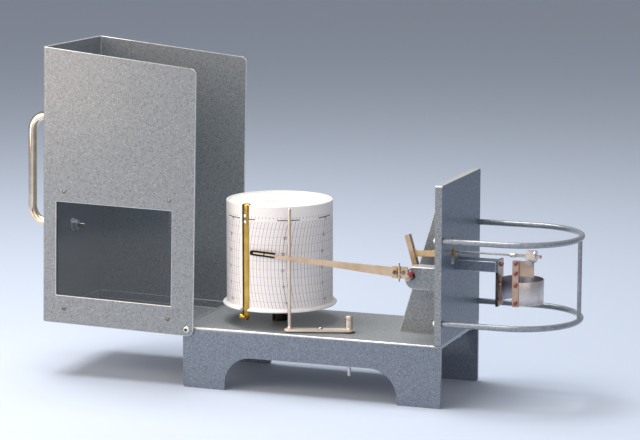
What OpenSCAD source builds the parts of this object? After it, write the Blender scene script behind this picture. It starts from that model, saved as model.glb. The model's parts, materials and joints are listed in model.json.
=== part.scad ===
// Recording thermograph: hinged cover, clockwork chart drum, pen on a gate hinge, bimetal ring in a guard.
// Millimetres. X runs along the base from the hinge end, Y from front to back, Z up from the feet.
// The origin is the bottom centre of the box round the instrument with its cover open.

/* [Base] */
// Length of the base channel
base_l = 235; // [228:1:250]
// Depth of the base channel, front to back
base_d = 111.4; // [108:0.2:118]
// Height of the base channel
base_h = 54; // [50:1:60]
// Sheet thickness of the base channel
base_t = 2.6; // [2:0.1:3]
// Length of each foot left by the arches
foot_l = 39; // [30:1:50]
// Height of the arches
arch_h = 30; // [27:1:34]
// Corner radius of the arches
arch_r = 24.5; // [15:0.5:26]

/* [End plate] */
// Radius of the plate's top corners
plate_r = 2; // [2:0.5:4]
// Thickness of the end plate
plate_t = 6; // [4:0.5:8]
// Height of the end plate above the base
plate_h = 135.4; // [130:0.2:145]
// Width of the link slot through the plate
slot_w = 8; // [7:0.5:10]
// Height of the link slot
slot_h = 23.4; // [20:0.2:26]
// Thickness of the gusset
gusset_t = 3; // [2:0.5:5]
// Length of the gusset along the base
gusset_l = 45.5; // [40:0.5:50]
// Width of the gusset at its top
gusset_top = 7.5; // [4:0.5:10]
// Gusset centre plane, from the front of the base
gusset_in = 46.5; // [42:0.5:50]

/* [Guard] */
// Diameter of the guard rod
guard_d = 5; // [4:0.5:6]
// Straight length of each hoop leg
guard_leg = 51.5; // [46:0.5:60]
// Inset of the hoop legs from the plate's edges
guard_inset = 3.2; // [3:0.1:5]
// Height of the lower hoop above the base
guard_low_up = 18.5; // [14:0.5:22]
// Distance between the hoops
guard_gap = 70.2; // [70:0.1:76]

/* [Cover] */
// Sheet thickness of the cover
cover_t = 1.5; // [1:0.1:2]
// Side gap between the cover's walls and the base
cover_gap = 0.5; // [0.4:0.1:1]
// Gap between the closed cover and the top of the end plate
cover_rest = 0.3; // [0.3:0.1:1]
// Corner radius of the walls round the hinge screws
hinge_r = 6; // [5.5:0.1:7]
// Hinge axis, from the hinge end of the base
hinge_in = 4.4; // [4:0.1:6]
// Hinge axis, below the top of the base
hinge_down = 2.4; // [2:0.1:3]
// Angle from closed to the open rest pose
cover_open = 88.7; // [80:0.1:90]
// How far the walls stop short of the plate's outer face at the bottom
wall_short = 3.4; // [2:0.1:6]
// How far the top reaches past the plate's outer face
top_reach = 8.4; // [6:0.1:10]
// Radius of the walls' free lower corners
free_r = 5; // [3:0.5:8]
// Outer bend radius of the cover's long edges
cover_bend = 3; // [2:0.5:4]
// Depth of the end panel's folded edges
panel_fold = 8.5; // [6:0.5:10]

/* [Window] */
// Width of the window, along the base
window_w = 83.8; // [76:0.2:90]
// Height of the window
window_h = 110.8; // [100:0.2:112]
// Height of the window's sill
window_z = 67; // [66:0.5:72]
// Thickness of the window pane
pane_t = 1.5; // [1:0.1:2]
// Window screws, beyond the window's sides
pane_out = 10.4; // [8:0.2:12]
// Window screws, inside the window's top and bottom
pane_in = 5.2; // [3:0.2:6]
// Middle of the window screws, from the window's middle towards the hinge
pane_aside = 1.3; // [0:0.1:2]
// Middle of the window screws, below the window's middle
pane_below = 2.6; // [0:0.1:3]

/* [Handle] */
// Diameter of the handle rod
handle_d = 8; // [6:0.5:10]
// Distance between the handle's legs
handle_span = 98; // [80:1:110]
// Height of the handle's centre line over the cover
handle_rise = 39; // [30:1:45]
// Bend radius of the handle
handle_bend = 14; // [10:1:18]
// Nearer handle leg, from the hinge end of the base
handle_x = 77; // [74:1:90]

/* [Drum] */
// Drum's wall, from the front of the base
drum_in = 9.3; // [9:0.1:11]
// Height of the drum above its flange
drum_h = 90.4; // [87:0.1:94]
// Wall thickness of the drum
drum_t = 2; // [1.5:0.1:3]
// How far the flange stands out from the drum's wall
flange_out = 3.8; // [3:0.1:4.4]
// Thickness of the drum's floor and flange
flange_t = 2; // [1.6:0.1:4]
// Underside of the drum above the base
drum_up = 15.6; // [15:0.1:18]
// Drum axis, from the hinge end of the base
drum_x = 69; // [66:0.5:72]
// Thickness of the chart paper
chart_t = 0.25; // [0.15:0.05:0.4]
// Width of the chart clip
clip_w = 7.5; // [6:0.1:10]
// Thickness of the chart clip
clip_t = 0.7; // [0.5:0.1:0.8]
// Clip's place round the drum, from the front
clip_a = -17.6; // [-30:0.2:-16]

/* [Clockwork] */
// Diameter of the spindle
spindle_d = 8; // [7:0.5:9]
// Module of the gears under the drum
gear_m = 0.6; // [0.5:0.05:0.7]
// Teeth of the fixed centre gear
gear_n = 20; // [18:2:24]
// Teeth of the drive pinion
pinion_n = 12; // [10:2:14]
// Place of the pinion round the spindle
pinion_a = 60; // [30:5:90]
// Gap between the clock case and the drum's wall
clock_gap = 2.4; // [2:0.2:5]
// Height of the clock case
clock_h = 45; // [40:1:50]
// Diameter of the mainspring barrel
barrel_d = 26; // [20:1:28]

/* [Pen] */
// Diameter of the pen shaft
shaft_d = 3; // [2.6:0.1:4]
// Length of the bearing block
block_l = 30.2; // [26:0.1:34]
// Height of the bearing block
block_h = 19.2; // [17:0.1:24]
// Depth of the bearing block, front to back
block_w = 15; // [13:0.1:16]
// Corner radius of the bearing block's free end
block_r = 8; // [5:0.5:8.5]
// Underside of the bearing block above the base
block_up = 44.2; // [42:0.1:48]
// Front of the bearing block, from the front of the base
block_in = 13; // [12:0.1:14]
// Pen arm's plane at the gate hinge, from the front of the base
gate_in = 4.4; // [4:0.1:4.8]
// Gate hinge, left of the pen shaft
gate_off = 7.8; // [7:0.1:10]
// Pen tip, left of the drum's axis
tip_off = 9.4; // [8:0.1:12]
// Height of the pen tip above the base
tip_up = 66.8; // [60:0.1:72]
// Inward lean of the pen arm
arm_lean = 1.7; // [1.2:0.05:1.75]
// Thickness of the pen arm
arm_t = 0.8; // [0.4:0.1:1]
// Width of the pen arm at the gate hinge
arm_root = 8.4; // [6:0.1:9]
// Width of the pen arm at the pen
arm_tip = 2.4; // [2:0.1:3]
// Length of the pen nib
nib_l = 23.5; // [18:0.5:26]
// Width of the pen nib
nib_w = 4.4; // [3:0.1:5]
// Length of the rear lever above the shaft
lever_l = 33; // [28:0.5:36]
// Lean of the rear lever from upright
lever_lean = 16; // [8:0.1:18]
// Link pivot on the rear lever, from the shaft
link_r = 17.2; // [16:0.1:20]

/* [Lifter] */
// Diameter of the lifter rod
rod_d = 3; // [2:0.1:3.4]
// Lifter rod, right of the drum's axis
rod_off = 26.8; // [24:0.1:30]
// Lifter rod, from the front of the base
rod_in = 9.3; // [9.2:0.05:9.6]
// Height of the lifter rod's top above the base
rod_up = 107; // [100:1:112]
// Length of the lifter lever between rod and knob
lifter_l = 51.4; // [46:0.2:56]
// Angle of the lifter lever to the base
lifter_a = 17.8; // [15:0.1:20]
// Width of the lifter lever
lifter_w = 9; // [8.4:0.1:10]
// Diameter of the lifter knob
knob_d = 7.4; // [7:0.1:9]
// Height of the lifter knob
knob_h = 12; // [10:0.5:15]
// Diameter of the lifter shaft
lift_d = 3; // [2.6:0.1:4]
// Clear height of the lifter shaft's lower end over the table
lift_foot = 16; // [10:0.2:20]

/* [Sensor] */
// Depth of the sensor arm, front to back
sarm_w = 16; // [14:0.5:18]
// Height of the sensor arm
sarm_h = 9; // [8:0.5:12]
// Top of the sensor arm above the base
sarm_up = 66.4; // [65:0.1:68]
// Length of the sensor arm
sarm_l = 34.4; // [30:0.2:40]
// Thickness of the hanging plate at the arm's end
hang_t = 2.4; // [2:0.1:3]
// Length of the hanging plate
hang_h = 39.4; // [38:0.1:44]
// Middle radius of the bimetal ring
ring_r = 18.4; // [17:0.1:21]
// Thickness of the bimetal band
ring_t = 0.6; // [0.4:0.1:0.8]
// Width of the bimetal band
ring_w = 20.3; // [18:0.1:22]
// Underside of the bimetal band above the base
ring_up = 32; // [30:0.5:34]
// Width of the free end's strip and clamped tab
strip_w = 5.4; // [5:0.1:7]
// Length of the free end's strip
strip_h = 39.2; // [36:0.1:42]
// Thickness of the free end's strip
strip_t = 2; // [1.5:0.1:2.5]

/* [Clearances] */
// Running fit round a shaft
run_fit = 0.05; // [0.03:0.01:0.08]
// Gap round a fastener in its hole
bolt_fit = 0.05; // [0.03:0.01:0.1]
// Gap between moving faces
free_gap = 0.3; // [0.2:0.05:0.5]

/* [Hidden] */
$fn = 64;

// Finishes
hammer_grey = "#8b939e";
nickel = "#c9bda9";
steel = "#b9bcc0";
chrome = "#d7dadd";
gold_brass = "#c49a3c";
white_paint = "#eeeeec";
lacquer_red = "#b01018";
pen_black = "#15151a";

// Base and plate
front = -base_d / 2;
plate_x = base_l - plate_t;
plate_top = base_h + plate_h;
gusset_y = front + gusset_in;
bend_in = 0.4;
plate_screw_d = 4;
plate_screw_y = [-base_d / 3, 0, base_d / 3];
plate_screw_in = 10;
screw_head_h = 2.4;

// Guard
guard_r = base_d / 2 - guard_inset;
guard_x = base_l + guard_leg;
guard_low = base_h + guard_low_up;
guard_high = guard_low + guard_gap;
guard_screw_d = 3;
guard_screw_in = 9;
guard_head_d = 5.6;

// Cover, in its closed place
hinge_x = hinge_in;
hinge_z = base_h - hinge_down;
hinge_screw_d = 3;
hinge_head_d = 6;
hinge_head_h = 2.2;
lug = 9;
cover_in = base_d / 2 + cover_gap;
cover_out = cover_in + cover_t;
cover_x0 = hinge_x - hinge_r;
cover_z0 = hinge_z - hinge_r;
cover_top = plate_top + cover_rest + cover_t;
wall_x1 = base_l - wall_short;
top_x1 = base_l + top_reach;
slant = atan2(top_x1 - wall_x1, cover_top - cover_z0);
free_cx = wall_x1 - free_r * (1 - sin(slant)) / cos(slant);
// The end panel starts where its fold clears the base's corner as the cover turns
panel_z0 = hinge_z + norm([hinge_in, hinge_down]) + 2 * free_gap;
window_x = drum_x - window_w / 2 - 3.5;
pane_side = pane_out + 4.5;
pane_end = 5;
pane_screw_d = 2.4;
pane_nut_h = 1.4;
stud_d = 5;
stud_l = 14;
nut_h = 4;
nut_af = 8;
washer_d = 12;
washer_t = 1.5;

// Drum
drum_z = base_h + drum_up;
drum_r = base_d / 2 - drum_in;
drum_d = 2 * drum_r;
flange_d = drum_d + 2 * flange_out;
chart_r = drum_r + chart_t;
drum_top = drum_z + flange_t + drum_h;
lid_t = 2;
lid_sink = 0.5;
clip_r0 = chart_r + run_fit;
clip_r1 = clip_r0 + clip_t;
clip_hook = 3.2;
curl_d = 4.2;
curl_z = drum_z - 5.2;
sleeve_wall = 2;
sleeve_d = spindle_d + 2 * run_fit + 2 * sleeve_wall;
collar_d = 13.6;
collar_h = 7;
gear_h = drum_up - collar_h - 1.8;
gear_z = base_h + collar_h;
spindle_run = 68;
spindle_top = drum_z + spindle_run;
sleeve_z = gear_z + gear_h + free_gap;
sleeve_top = spindle_top + spindle_d / 4 + free_gap;
gear_c = gear_m * (gear_n + pinion_n) / 2;
pinion_h = gear_h - 2 * free_gap;
pinion_z = gear_z + 2 * free_gap;
arbor_d = 3;
clock_t = 1.2;
clock_d = drum_d - 2 * (drum_t + clock_gap);
clock_z = drum_z + flange_t;
clock_plate_t = 2;
clock_plate_r = clock_d / 2 - clock_t - 2;
pillar_d = 5;
pillar_r = clock_plate_r - 4;
plate_low_z = clock_z + 4;
plate_high_z = clock_z + clock_h - clock_t - 5;
barrel_c = clock_plate_r - barrel_d / 2 - 1;
barrel_a = 200;

// Pen gear
block_x0 = plate_x - block_l;
block_z0 = base_h + block_up;
block_y0 = front + block_in;
block_y1 = block_y0 + block_w;
shaft_x = block_x0 + 5.7;
shaft_z = block_z0 + block_h / 2 + 1.8;
bush_d = shaft_d + 2.6;
bush_l = 5;
bush_flange_d = bush_d + 1.2;
bush_flange_t = 0.8;
hub_d = shaft_d + 1.8;
lock_lean = 24;
lock_head_h = 2.4;
hub_y0 = front + 1.8;
hub_y1 = block_y0 - bush_flange_t - free_gap;
rear_y0 = block_y1 + bush_flange_t + free_gap;
rear_w = 6;
rear_y1 = rear_y0 + rear_w;
gate_x = shaft_x - gate_off;
gate_y = front + gate_in;
gate_z = shaft_z + 4.1;
pin_d = 1.2;
knuckle_d = 3;
knuckle_h = 5;
knuckle_side = 2.6;
leaf_t = 1.2;
leaf_l = 5.6;
leaf_h = 10;
leaf_off = knuckle_d / 2 + free_gap;
tip_x = drum_x - tip_off;
tip_z = base_h + tip_up;
arm_l = gate_x - tip_x;
nib_x = arm_l - nib_l + 3;
nib_t = 1.2;
slot_screw_d = 3.6;
slot_screw_h = 1.2;
slot_shank_d = 1.8;
screw_off = knuckle_d / 2 + 2.1;
// Long enough for any cut to pass through its piece
cut_l = 20;
lever_t = 4.3;
lever_aside = 0.5;
lever_y = (rear_y0 + rear_y1) / 2;
fork_w = 1.8;
link_pin_d = 1.5;
link_x = shaft_x - link_r * sin(lever_lean);
link_z = shaft_z + link_r * cos(lever_lean);
link_t = 1.2;
link_h = 5.2;
eye_h = 7;
eye_l = 5;
// The pin may rise and fall in the link's eye as the lever turns
eye_down = 1.7;
eye_up = 0.8;
eye_w = link_pin_d + 0.4;
wire_d = 1.6;
slot_lift = 1;
wire_z = link_z + 3.3;
bar_z = link_z - 0.9;
bar_fall = 2.5;
bar_x1 = base_l + 3;
bar_lug = 5;

// Lifter
rod_x = drum_x + rod_off;
rod_y = front + rod_in;
lift_x = rod_x + lifter_l * cos(lifter_a);
lift_y = rod_y + lifter_l * sin(lifter_a);
lift_z = base_h + 1.2;
lift_t = 1.8;
guide_r = 25;
guide_d = 2.4;
guide_run = 2.2;
guide_head_d = 5.4;
guide_head_h = 1.6;
lift_bush_d = 7;
lift_bush_flange = 10;
lift_bush_z = base_h - base_t - 3;
lift_collar_h = 4;
lift_collar_d = 8;

// Sensor
sarm_z1 = base_h + sarm_up;
ring_y = gusset_y + 3.5;
sarm_y0 = ring_y - sarm_w / 2 + 1;
hang_x = base_l + sarm_l;
hang_over = 1.1;
hang_screw_z = sarm_z1 - 3;
ring_x = hang_x + hang_t + ring_t / 2 + ring_r;
ring_z = base_h + ring_up;
tab_l = 7.5;
tab_edge = 2.6;
tab_in = 4.9;
tab_low = 2.4;
tab_high = 5.1;
free_y = ring_y - ring_r;
strip_y = free_y - ring_t / 2 - strip_t;
strip_z = ring_z - 0.2;
red_d = 3.4;
red_h = 1.5;
red_shank = 2;
wire_y = lever_y;
tang_w = 18;
tang_h = 13.6;
tang_x = ring_x - strip_w / 2;
tang_z = strip_z + strip_h - tang_h;
clamp_w = 6.8;
clamp_h = 7.3;
clamp_d = 6.6;
clamp_x = tang_x + tang_w - clamp_w;
clamp_z = wire_z - 3;
adjust_d = 2.6;
adjust_end = 3.6;
adjust_x0 = ring_x - strip_w;
adjust_x1 = clamp_x + clamp_w + 5.8;
lock_d = 10.2;
lock_t = 2;
clamp_lug_d = 5.2;
clamp_neck = 4.4;
clamp_head_d = 5.4;
clamp_screw_z = strip_z + strip_h - 0.6;

// Bottom centre of the open instrument's box, along the base
open_left = hinge_x + (handle_x + handle_bend - hinge_x) * cos(cover_open)
    - (cover_top + handle_rise - handle_bend - hinge_z) * sin(cover_open) - handle_bend - handle_d / 2;
open_right = guard_x + guard_r + guard_d / 2;
mid_x = (open_left + open_right) / 2;

// Moves a piece from the base's own corner to the origin
module seat() {
    translate([-mid_x, 0, 0]) children();
}

// Turns a cover piece from its closed place to the open rest pose
module opened() {
    translate([hinge_x, 0, hinge_z]) rotate([0, -cover_open, 0])
        translate([-hinge_x, 0, -hinge_z]) children();
}

// Puts a drum piece on the drum's axis
module on_drum() {
    translate([drum_x, 0, 0]) children();
}

// Turns a pen piece about the gate hinge to the arm's inward lean
module on_gate() {
    translate([gate_x, gate_y, 0]) rotate([0, 0, -arm_lean]) children();
}

// Sets a lifter piece on the lifter's axis, lever along -X
module on_lifter() {
    translate([lift_x, lift_y, 0]) rotate([0, 0, lifter_a]) children();
}

module cyl_x(d, l) {
    rotate([0, 90, 0]) cylinder(d = d, h = l);
}

module cyl_y(d, l) {
    rotate([-90, 0, 0]) cylinder(d = d, h = l);
}

// Lays an outline drawn in X and Z into depth, from y0 back to y1
module depth(y0, y1) {
    translate([0, y1, 0]) rotate([90, 0, 0]) linear_extrude(y1 - y0) children();
}

// Runs a section drawn in Y and Z along the base, from x0 to x1
module along(x0, x1) {
    translate([x0, 0, 0]) rotate([90, 0, 90]) linear_extrude(x1 - x0) children();
}

// Low dome of a screw head, flat side at z = 0
module dome(d, h) {
    ball = (h * h + d * d / 4) / (2 * h);
    intersection() {
        translate([0, 0, h - ball]) sphere(r = ball);
        cylinder(d = d, h = h);
    }
}

module hex_nut(af, h, bore) {
    difference() {
        cylinder(d = af / cos(30), h = h, $fn = 6);
        translate([0, 0, -1]) cylinder(d = bore, h = h + 2);
    }
}

module tube(d, bore, h) {
    difference() {
        cylinder(d = d, h = h);
        translate([0, 0, -1]) cylinder(d = bore, h = h + 2);
    }
}

// Slotted cheese head with its shank, head towards +Z
module slotted(d, h, shank, l) {
    difference() {
        cylinder(d = d, h = h);
        translate([-d, -0.35, h - 0.5]) cube([2 * d, 0.7, 1]);
    }
    translate([0, 0, -l]) cylinder(d = shank, h = l);
}

// Section of a sheet bent into an upturned channel
module channel(half, top, bend) {
    translate([-half, 0]) square([2 * half, top - bend]);
    translate([-half + bend, 0]) square([2 * (half - bend), top]);
    for (side = [-1, 1]) translate([side * (half - bend), top - bend]) circle(r = bend);
}

// Half angle of an involute tooth at radius r, with a little play
function tooth_half(n, m, r) =
    let (rp = n * m / 2, rb = rp * cos(20), a = r > rb ? acos(rb / r) : 0, play = 0.06)
    90 / n + (tan(20) - tan(a)) * 180 / PI - 20 + a - play / rp * 180 / PI;

function gear_points(n, m) =
    let (rp = n * m / 2, root = rp - 1.25 * m, tip = rp + m, low = max(root, rp * cos(20)))
    let (rs = [root, low, (low + rp) / 2, rp, (rp + tip) / 2, tip])
    [for (i = [0 : n - 1], s = [-1, 1], k = [0 : 5])
        let (r = rs[s < 0 ? k : 5 - k], a = 360 * i / n + s * tooth_half(n, m, max(r, low)))
        r * [cos(a), sin(a)]];

// Base body

module base_channel() {
    color(hammer_grey) seat() difference() {
        along(0, base_l) difference() {
            channel(base_d / 2, base_h, base_t + bend_in);
            translate([0, -1]) channel(base_d / 2 - base_t, base_h - base_t + 1, bend_in);
        }
        depth(-base_d, base_d) arch();
        for (y = plate_screw_y) translate([base_l - plate_t / 2, y, base_h - 2 * base_t])
            cylinder(d = plate_screw_d + 2 * bolt_fit, h = 3 * base_t);
        translate([drum_x, 0, base_h - 2 * base_t]) cylinder(d = spindle_d + 2 * bolt_fit, h = 3 * base_t);
        translate([lift_x, lift_y, base_h - 2 * base_t])
            cylinder(d = lift_bush_d + 2 * bolt_fit, h = 3 * base_t);
        on_lifter() translate([-guide_r, 0, base_h - 2 * base_t])
            cylinder(d = guide_d + 2 * bolt_fit, h = 3 * base_t);
        hinge_holes();
    }
}

module arch() {
    x0 = foot_l;
    x1 = base_l - foot_l;
    translate([x0, -1]) square([x1 - x0, arch_h - arch_r + 1]);
    translate([x0 + arch_r, -1]) square([x1 - x0 - 2 * arch_r, arch_h + 1]);
    for (x = [x0 + arch_r, x1 - arch_r]) translate([x, arch_h - arch_r]) circle(r = arch_r);
}

module hinge_holes() {
    for (side = [-1, 1]) translate([hinge_x, side * base_d / 2, hinge_z])
        translate([0, -lug, 0]) cyl_y(hinge_screw_d + 2 * bolt_fit, 2 * lug);
}

module end_plate() {
    color(hammer_grey) seat() difference() {
        translate([0, 0, base_h]) along(plate_x, base_l) channel(base_d / 2, plate_h, plate_r);
        translate([plate_x - 1, lever_y - slot_w / 2, wire_z + slot_lift - slot_h / 2])
            cube([plate_t + 2, slot_w, slot_h]);
        for (y = [-guard_r, guard_r], z = [guard_low, guard_high]) translate([plate_x - 1, y, z])
            cyl_x(guard_screw_d + 2 * bolt_fit, plate_t + 2);
        for (y = plate_screw_y) translate([base_l - plate_t / 2, y, base_h - 1])
            cylinder(d = plate_screw_d + 2 * bolt_fit, h = plate_screw_in + 2);
    }
}

module plate_screws() {
    color(steel) seat() for (y = plate_screw_y) translate([base_l - plate_t / 2, y, base_h - base_t]) {
        cylinder(d = plate_screw_d, h = base_t + plate_screw_in);
        rotate([180, 0, 0]) dome(1.8 * plate_screw_d, screw_head_h);
    }
}

module gusset() {
    color(hammer_grey) seat() depth(gusset_y - gusset_t / 2, gusset_y + gusset_t / 2)
        polygon([[plate_x - gusset_l, base_h], [plate_x, base_h], [plate_x, plate_top],
            [plate_x - gusset_top, plate_top]]);
}

module bearing_block() {
    color(hammer_grey) seat() difference() {
        depth(block_y0, block_y1) {
            translate([block_x0 + block_r, block_z0]) square([block_l - block_r, block_h]);
            translate([block_x0, block_z0 + block_r]) square([block_l, block_h - 2 * block_r]);
            for (z = [block_z0 + block_r, block_z0 + block_h - block_r])
                translate([block_x0 + block_r, z]) circle(r = block_r);
        }
        translate([shaft_x, block_y0 - 1, shaft_z]) cyl_y(bush_d + 2 * bolt_fit, block_w + 2);
    }
}

module bearing_bushes() {
    color(gold_brass) seat() for (end = [0, 1]) translate([shaft_x, end == 0 ? block_y0 : block_y1, shaft_z])
        mirror([0, end, 0]) difference() {
            union() {
                cyl_y(bush_d, bush_l);
                translate([0, -bush_flange_t, 0]) cyl_y(bush_flange_d, bush_flange_t);
            }
            translate([0, -2, 0]) cyl_y(shaft_d + 2 * run_fit, bush_l + 4);
        }
}

// One U-shaped hoop of the guard, its legs drilled for their screws
module hoop(z, d) {
    difference() {
        translate([0, 0, z]) {
            for (y = [-guard_r, guard_r]) translate([base_l, y, 0]) cyl_x(d, guard_leg);
            translate([guard_x, 0, 0]) rotate([0, 0, -90]) rotate_extrude(angle = 180)
                translate([guard_r, 0]) circle(d = d);
        }
        for (y = [-guard_r, guard_r]) translate([base_l - 1, y, z])
            cyl_x(guard_screw_d + 2 * bolt_fit, guard_screw_in + 2);
    }
}

module guard_upper_hoop() {
    color(hammer_grey) seat() hoop(guard_high, guard_d);
}

module guard_lower_hoop() {
    color(hammer_grey) seat() hoop(guard_low, guard_d);
}

module guard_upright() {
    color(hammer_grey) seat() difference() {
        translate([guard_x + guard_r, 0, guard_low]) cylinder(d = guard_d, h = guard_high - guard_low);
        for (z = [guard_low, guard_high]) hoop(z, guard_d + 2 * bolt_fit);
    }
}

module guard_screws() {
    color(chrome) seat() for (y = [-guard_r, guard_r], z = [guard_low, guard_high])
        translate([plate_x, y, z]) {
            cyl_x(guard_screw_d, plate_t + guard_screw_in);
            rotate([0, -90, 0]) dome(guard_head_d, screw_head_h);
        }
}

module hinge_lugs() {
    color(hammer_grey) seat() for (side = [-1, 1]) difference() {
        translate([hinge_x, side * (base_d / 2 - base_t - bend_in - lug / 2), base_h - base_t - lug / 2])
            cube([lug, lug, lug], center = true);
        hinge_holes();
    }
}

module hinge_screws() {
    color(chrome) seat() for (side = [-1, 1]) translate([hinge_x, side * (cover_out + free_gap / 2), hinge_z])
        rotate([side * -90, 0, 0]) {
            dome(hinge_head_d, hinge_head_h);
            translate([0, 0, -lug - cover_gap]) cylinder(d = hinge_screw_d, h = lug + cover_gap);
        }
}

module drum_spindle() {
    color(steel) seat() on_drum() {
        translate([0, 0, base_h - base_t - 6]) cylinder(d = spindle_d, h = spindle_top - base_h + base_t + 6);
        translate([0, 0, base_h]) cylinder(d = collar_d, h = collar_h);
        translate([0, 0, spindle_top]) dome(spindle_d, spindle_d / 4);
    }
}

module centre_gear() {
    color(steel) seat() on_drum() difference() {
        translate([0, 0, gear_z]) rotate([0, 0, pinion_a]) linear_extrude(gear_h)
            polygon(gear_points(gear_n, gear_m));
        translate([0, 0, gear_z - 1]) cylinder(d = spindle_d + 2 * bolt_fit, h = gear_h + 2);
    }
}

module spindle_nut() {
    color(steel) seat() on_drum() translate([0, 0, base_h - base_t - 5])
        hex_nut(1.6 * spindle_d, 5, spindle_d + 2 * bolt_fit);
}

module lifter_bush() {
    color(gold_brass) seat() translate([lift_x, lift_y, 0]) difference() {
        union() {
            translate([0, 0, lift_bush_z]) cylinder(d = lift_bush_d, h = base_h - lift_bush_z);
            translate([0, 0, base_h]) cylinder(d = lift_bush_flange, h = lift_z - base_h - 2 * run_fit);
        }
        translate([0, 0, lift_bush_z - 1]) cylinder(d = lift_d + 2 * run_fit, h = lift_z - lift_bush_z + 2);
    }
}

module lifter_guide_screw() {
    color(nickel) seat() on_lifter() translate([-guide_r, 0, 0]) {
        translate([0, 0, base_h - base_t])
            cylinder(d = guide_d, h = lift_z + lift_t + free_gap - base_h + base_t);
        translate([0, 0, base_h]) cylinder(d = 2 * guide_d, h = lift_z - base_h - 2 * run_fit);
        translate([0, 0, lift_z + lift_t + free_gap]) dome(guide_head_d, guide_head_h);
    }
}

module sensor_arm() {
    color(hammer_grey) seat() difference() {
        translate([base_l, sarm_y0, sarm_z1 - sarm_h]) cube([sarm_l, sarm_w, sarm_h]);
        translate([hang_x - 8, ring_y + 1, hang_screw_z]) cyl_x(red_shank + 2 * bolt_fit, 9);
    }
}

module sensor_plate() {
    color(nickel) seat() difference() {
        translate([hang_x, sarm_y0, sarm_z1 + hang_over - hang_h]) cube([hang_t, sarm_w, hang_h]);
        sensor_screw_places() cylinder(d = red_shank + 2 * bolt_fit, h = cut_l, center = true);
    }
}

// The arm screw, then the two that clamp the fixed end of the band
module sensor_screw_places() {
    translate([hang_x + hang_t, ring_y + 1, hang_screw_z]) rotate([0, 90, 0]) children();
    for (z = [ring_z + tab_low, ring_z + ring_w - tab_high])
        translate([hang_x + hang_t + ring_t, ring_y - tab_in, z]) rotate([0, 90, 0]) children();
}

module sensor_screws() {
    color(lacquer_red) seat() {
        translate([hang_x + hang_t, ring_y + 1, hang_screw_z]) rotate([0, 90, 0])
            slotted(red_d, red_h, red_shank, hang_t + 7);
        for (z = [ring_z + tab_low, ring_z + ring_w - tab_high])
            translate([hang_x + hang_t + ring_t, ring_y - tab_in, z]) rotate([0, 90, 0])
                slotted(red_d, red_h, red_shank, hang_t + ring_t);
    }
}

module bimetal_ring() {
    color(chrome) seat() difference() {
        translate([ring_x, ring_y, ring_z]) {
            rotate([0, 0, -90]) rotate_extrude(angle = 270) translate([ring_r - ring_t / 2, 0])
                square([ring_t, ring_w]);
            translate([-ring_r - ring_t / 2, -tab_l, 0]) cube([ring_t, tab_l, ring_w]);
            translate([-strip_w / 2, -ring_r - ring_t / 2, 0]) cube([strip_w / 2, ring_t, ring_w]);
        }
        sensor_screw_places() translate([0, 0, -3]) cylinder(d = red_shank + 2 * bolt_fit, h = 6);
        free_screw_places() cylinder(d = red_shank + 2 * bolt_fit, h = cut_l, center = true);
    }
}

// Cover body, drawn closed

// Side outline of the closed cover in X and Z
module cover_side() {
    polygon([[cover_x0, hinge_z], [cover_x0, cover_top], [top_x1, cover_top],
        [free_cx + free_r * cos(slant), cover_z0 + free_r * (1 - sin(slant))], [free_cx, cover_z0],
        [hinge_x, cover_z0]]);
    translate([hinge_x, hinge_z]) circle(r = hinge_r);
    translate([free_cx, cover_z0 + free_r]) circle(r = free_r);
}

module cover_shell() {
    color(hammer_grey) seat() opened() difference() {
        intersection() {
            along(cover_x0 - 1, top_x1 + 1) difference() {
                channel(cover_out, cover_top, cover_bend);
                channel(cover_in, cover_top - cover_t, cover_bend - cover_t);
            }
            depth(-base_d, base_d) cover_side();
        }
        translate([window_x, -cover_out - 1, window_z]) cube([window_w, cover_t + 2, window_h]);
        for (side = [-1, 1]) translate([hinge_x, side * (cover_in + cover_t / 2) - cover_t, hinge_z])
            cyl_y(hinge_screw_d + 2 * run_fit, 2 * cover_t);
        pane_screw_places() cyl_y(pane_screw_d + 2 * bolt_fit, cover_t + 2);
        handle_places() translate([0, 0, -cover_t - 1]) cylinder(d = stud_d + 2 * bolt_fit, h = cover_t + 2);
    }
}

module cover_end_panel() {
    panel_h = cover_top - cover_t - panel_z0;
    color(hammer_grey) seat() opened() difference() {
        translate([cover_x0, -cover_in, panel_z0]) cube([panel_fold, 2 * cover_in, panel_h]);
        translate([cover_x0 + cover_t, -cover_in + cover_t, panel_z0 + cover_t])
            cube([panel_fold, 2 * (cover_in - cover_t), panel_h - 2 * cover_t]);
        for (side = [-1, 1])
            translate([cover_x0 - 1, side * cover_in - cover_bend / 2, cover_top - cover_t - cover_bend])
                cube([panel_fold + 2, cover_bend, cover_bend + 1]);
    }
}

module pane_screw_places() {
    for (x = [window_x - pane_out, window_x + window_w + pane_out],
            z = [window_z + pane_in, window_z + window_h - pane_in])
        translate([x - pane_aside, -cover_out - 1, z - pane_below]) children();
}

module window_pane() {
    color("#9fb0b8", 0.35) seat() opened() difference() {
        translate([window_x - pane_side, -cover_in, window_z - pane_end])
            cube([window_w + 2 * pane_side, pane_t, window_h + 2 * pane_end]);
        pane_screw_places() cyl_y(pane_screw_d + 2 * bolt_fit, 2 * cover_t + pane_t);
    }
}

module window_screws() {
    color(steel) seat() opened() pane_screw_places() translate([0, 1, 0]) {
        rotate([90, 0, 0]) dome(1.7 * pane_screw_d, 0.9);
        cyl_y(pane_screw_d, cover_t + pane_t + pane_nut_h);
        translate([0, cover_t + pane_t, 0]) rotate([-90, 0, 0])
            hex_nut(1.8 * pane_screw_d, pane_nut_h, pane_screw_d + 2 * bolt_fit);
    }
}

module handle_places() {
    for (x = [handle_x, handle_x + handle_span]) translate([x, 0, cover_top]) children();
}

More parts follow.
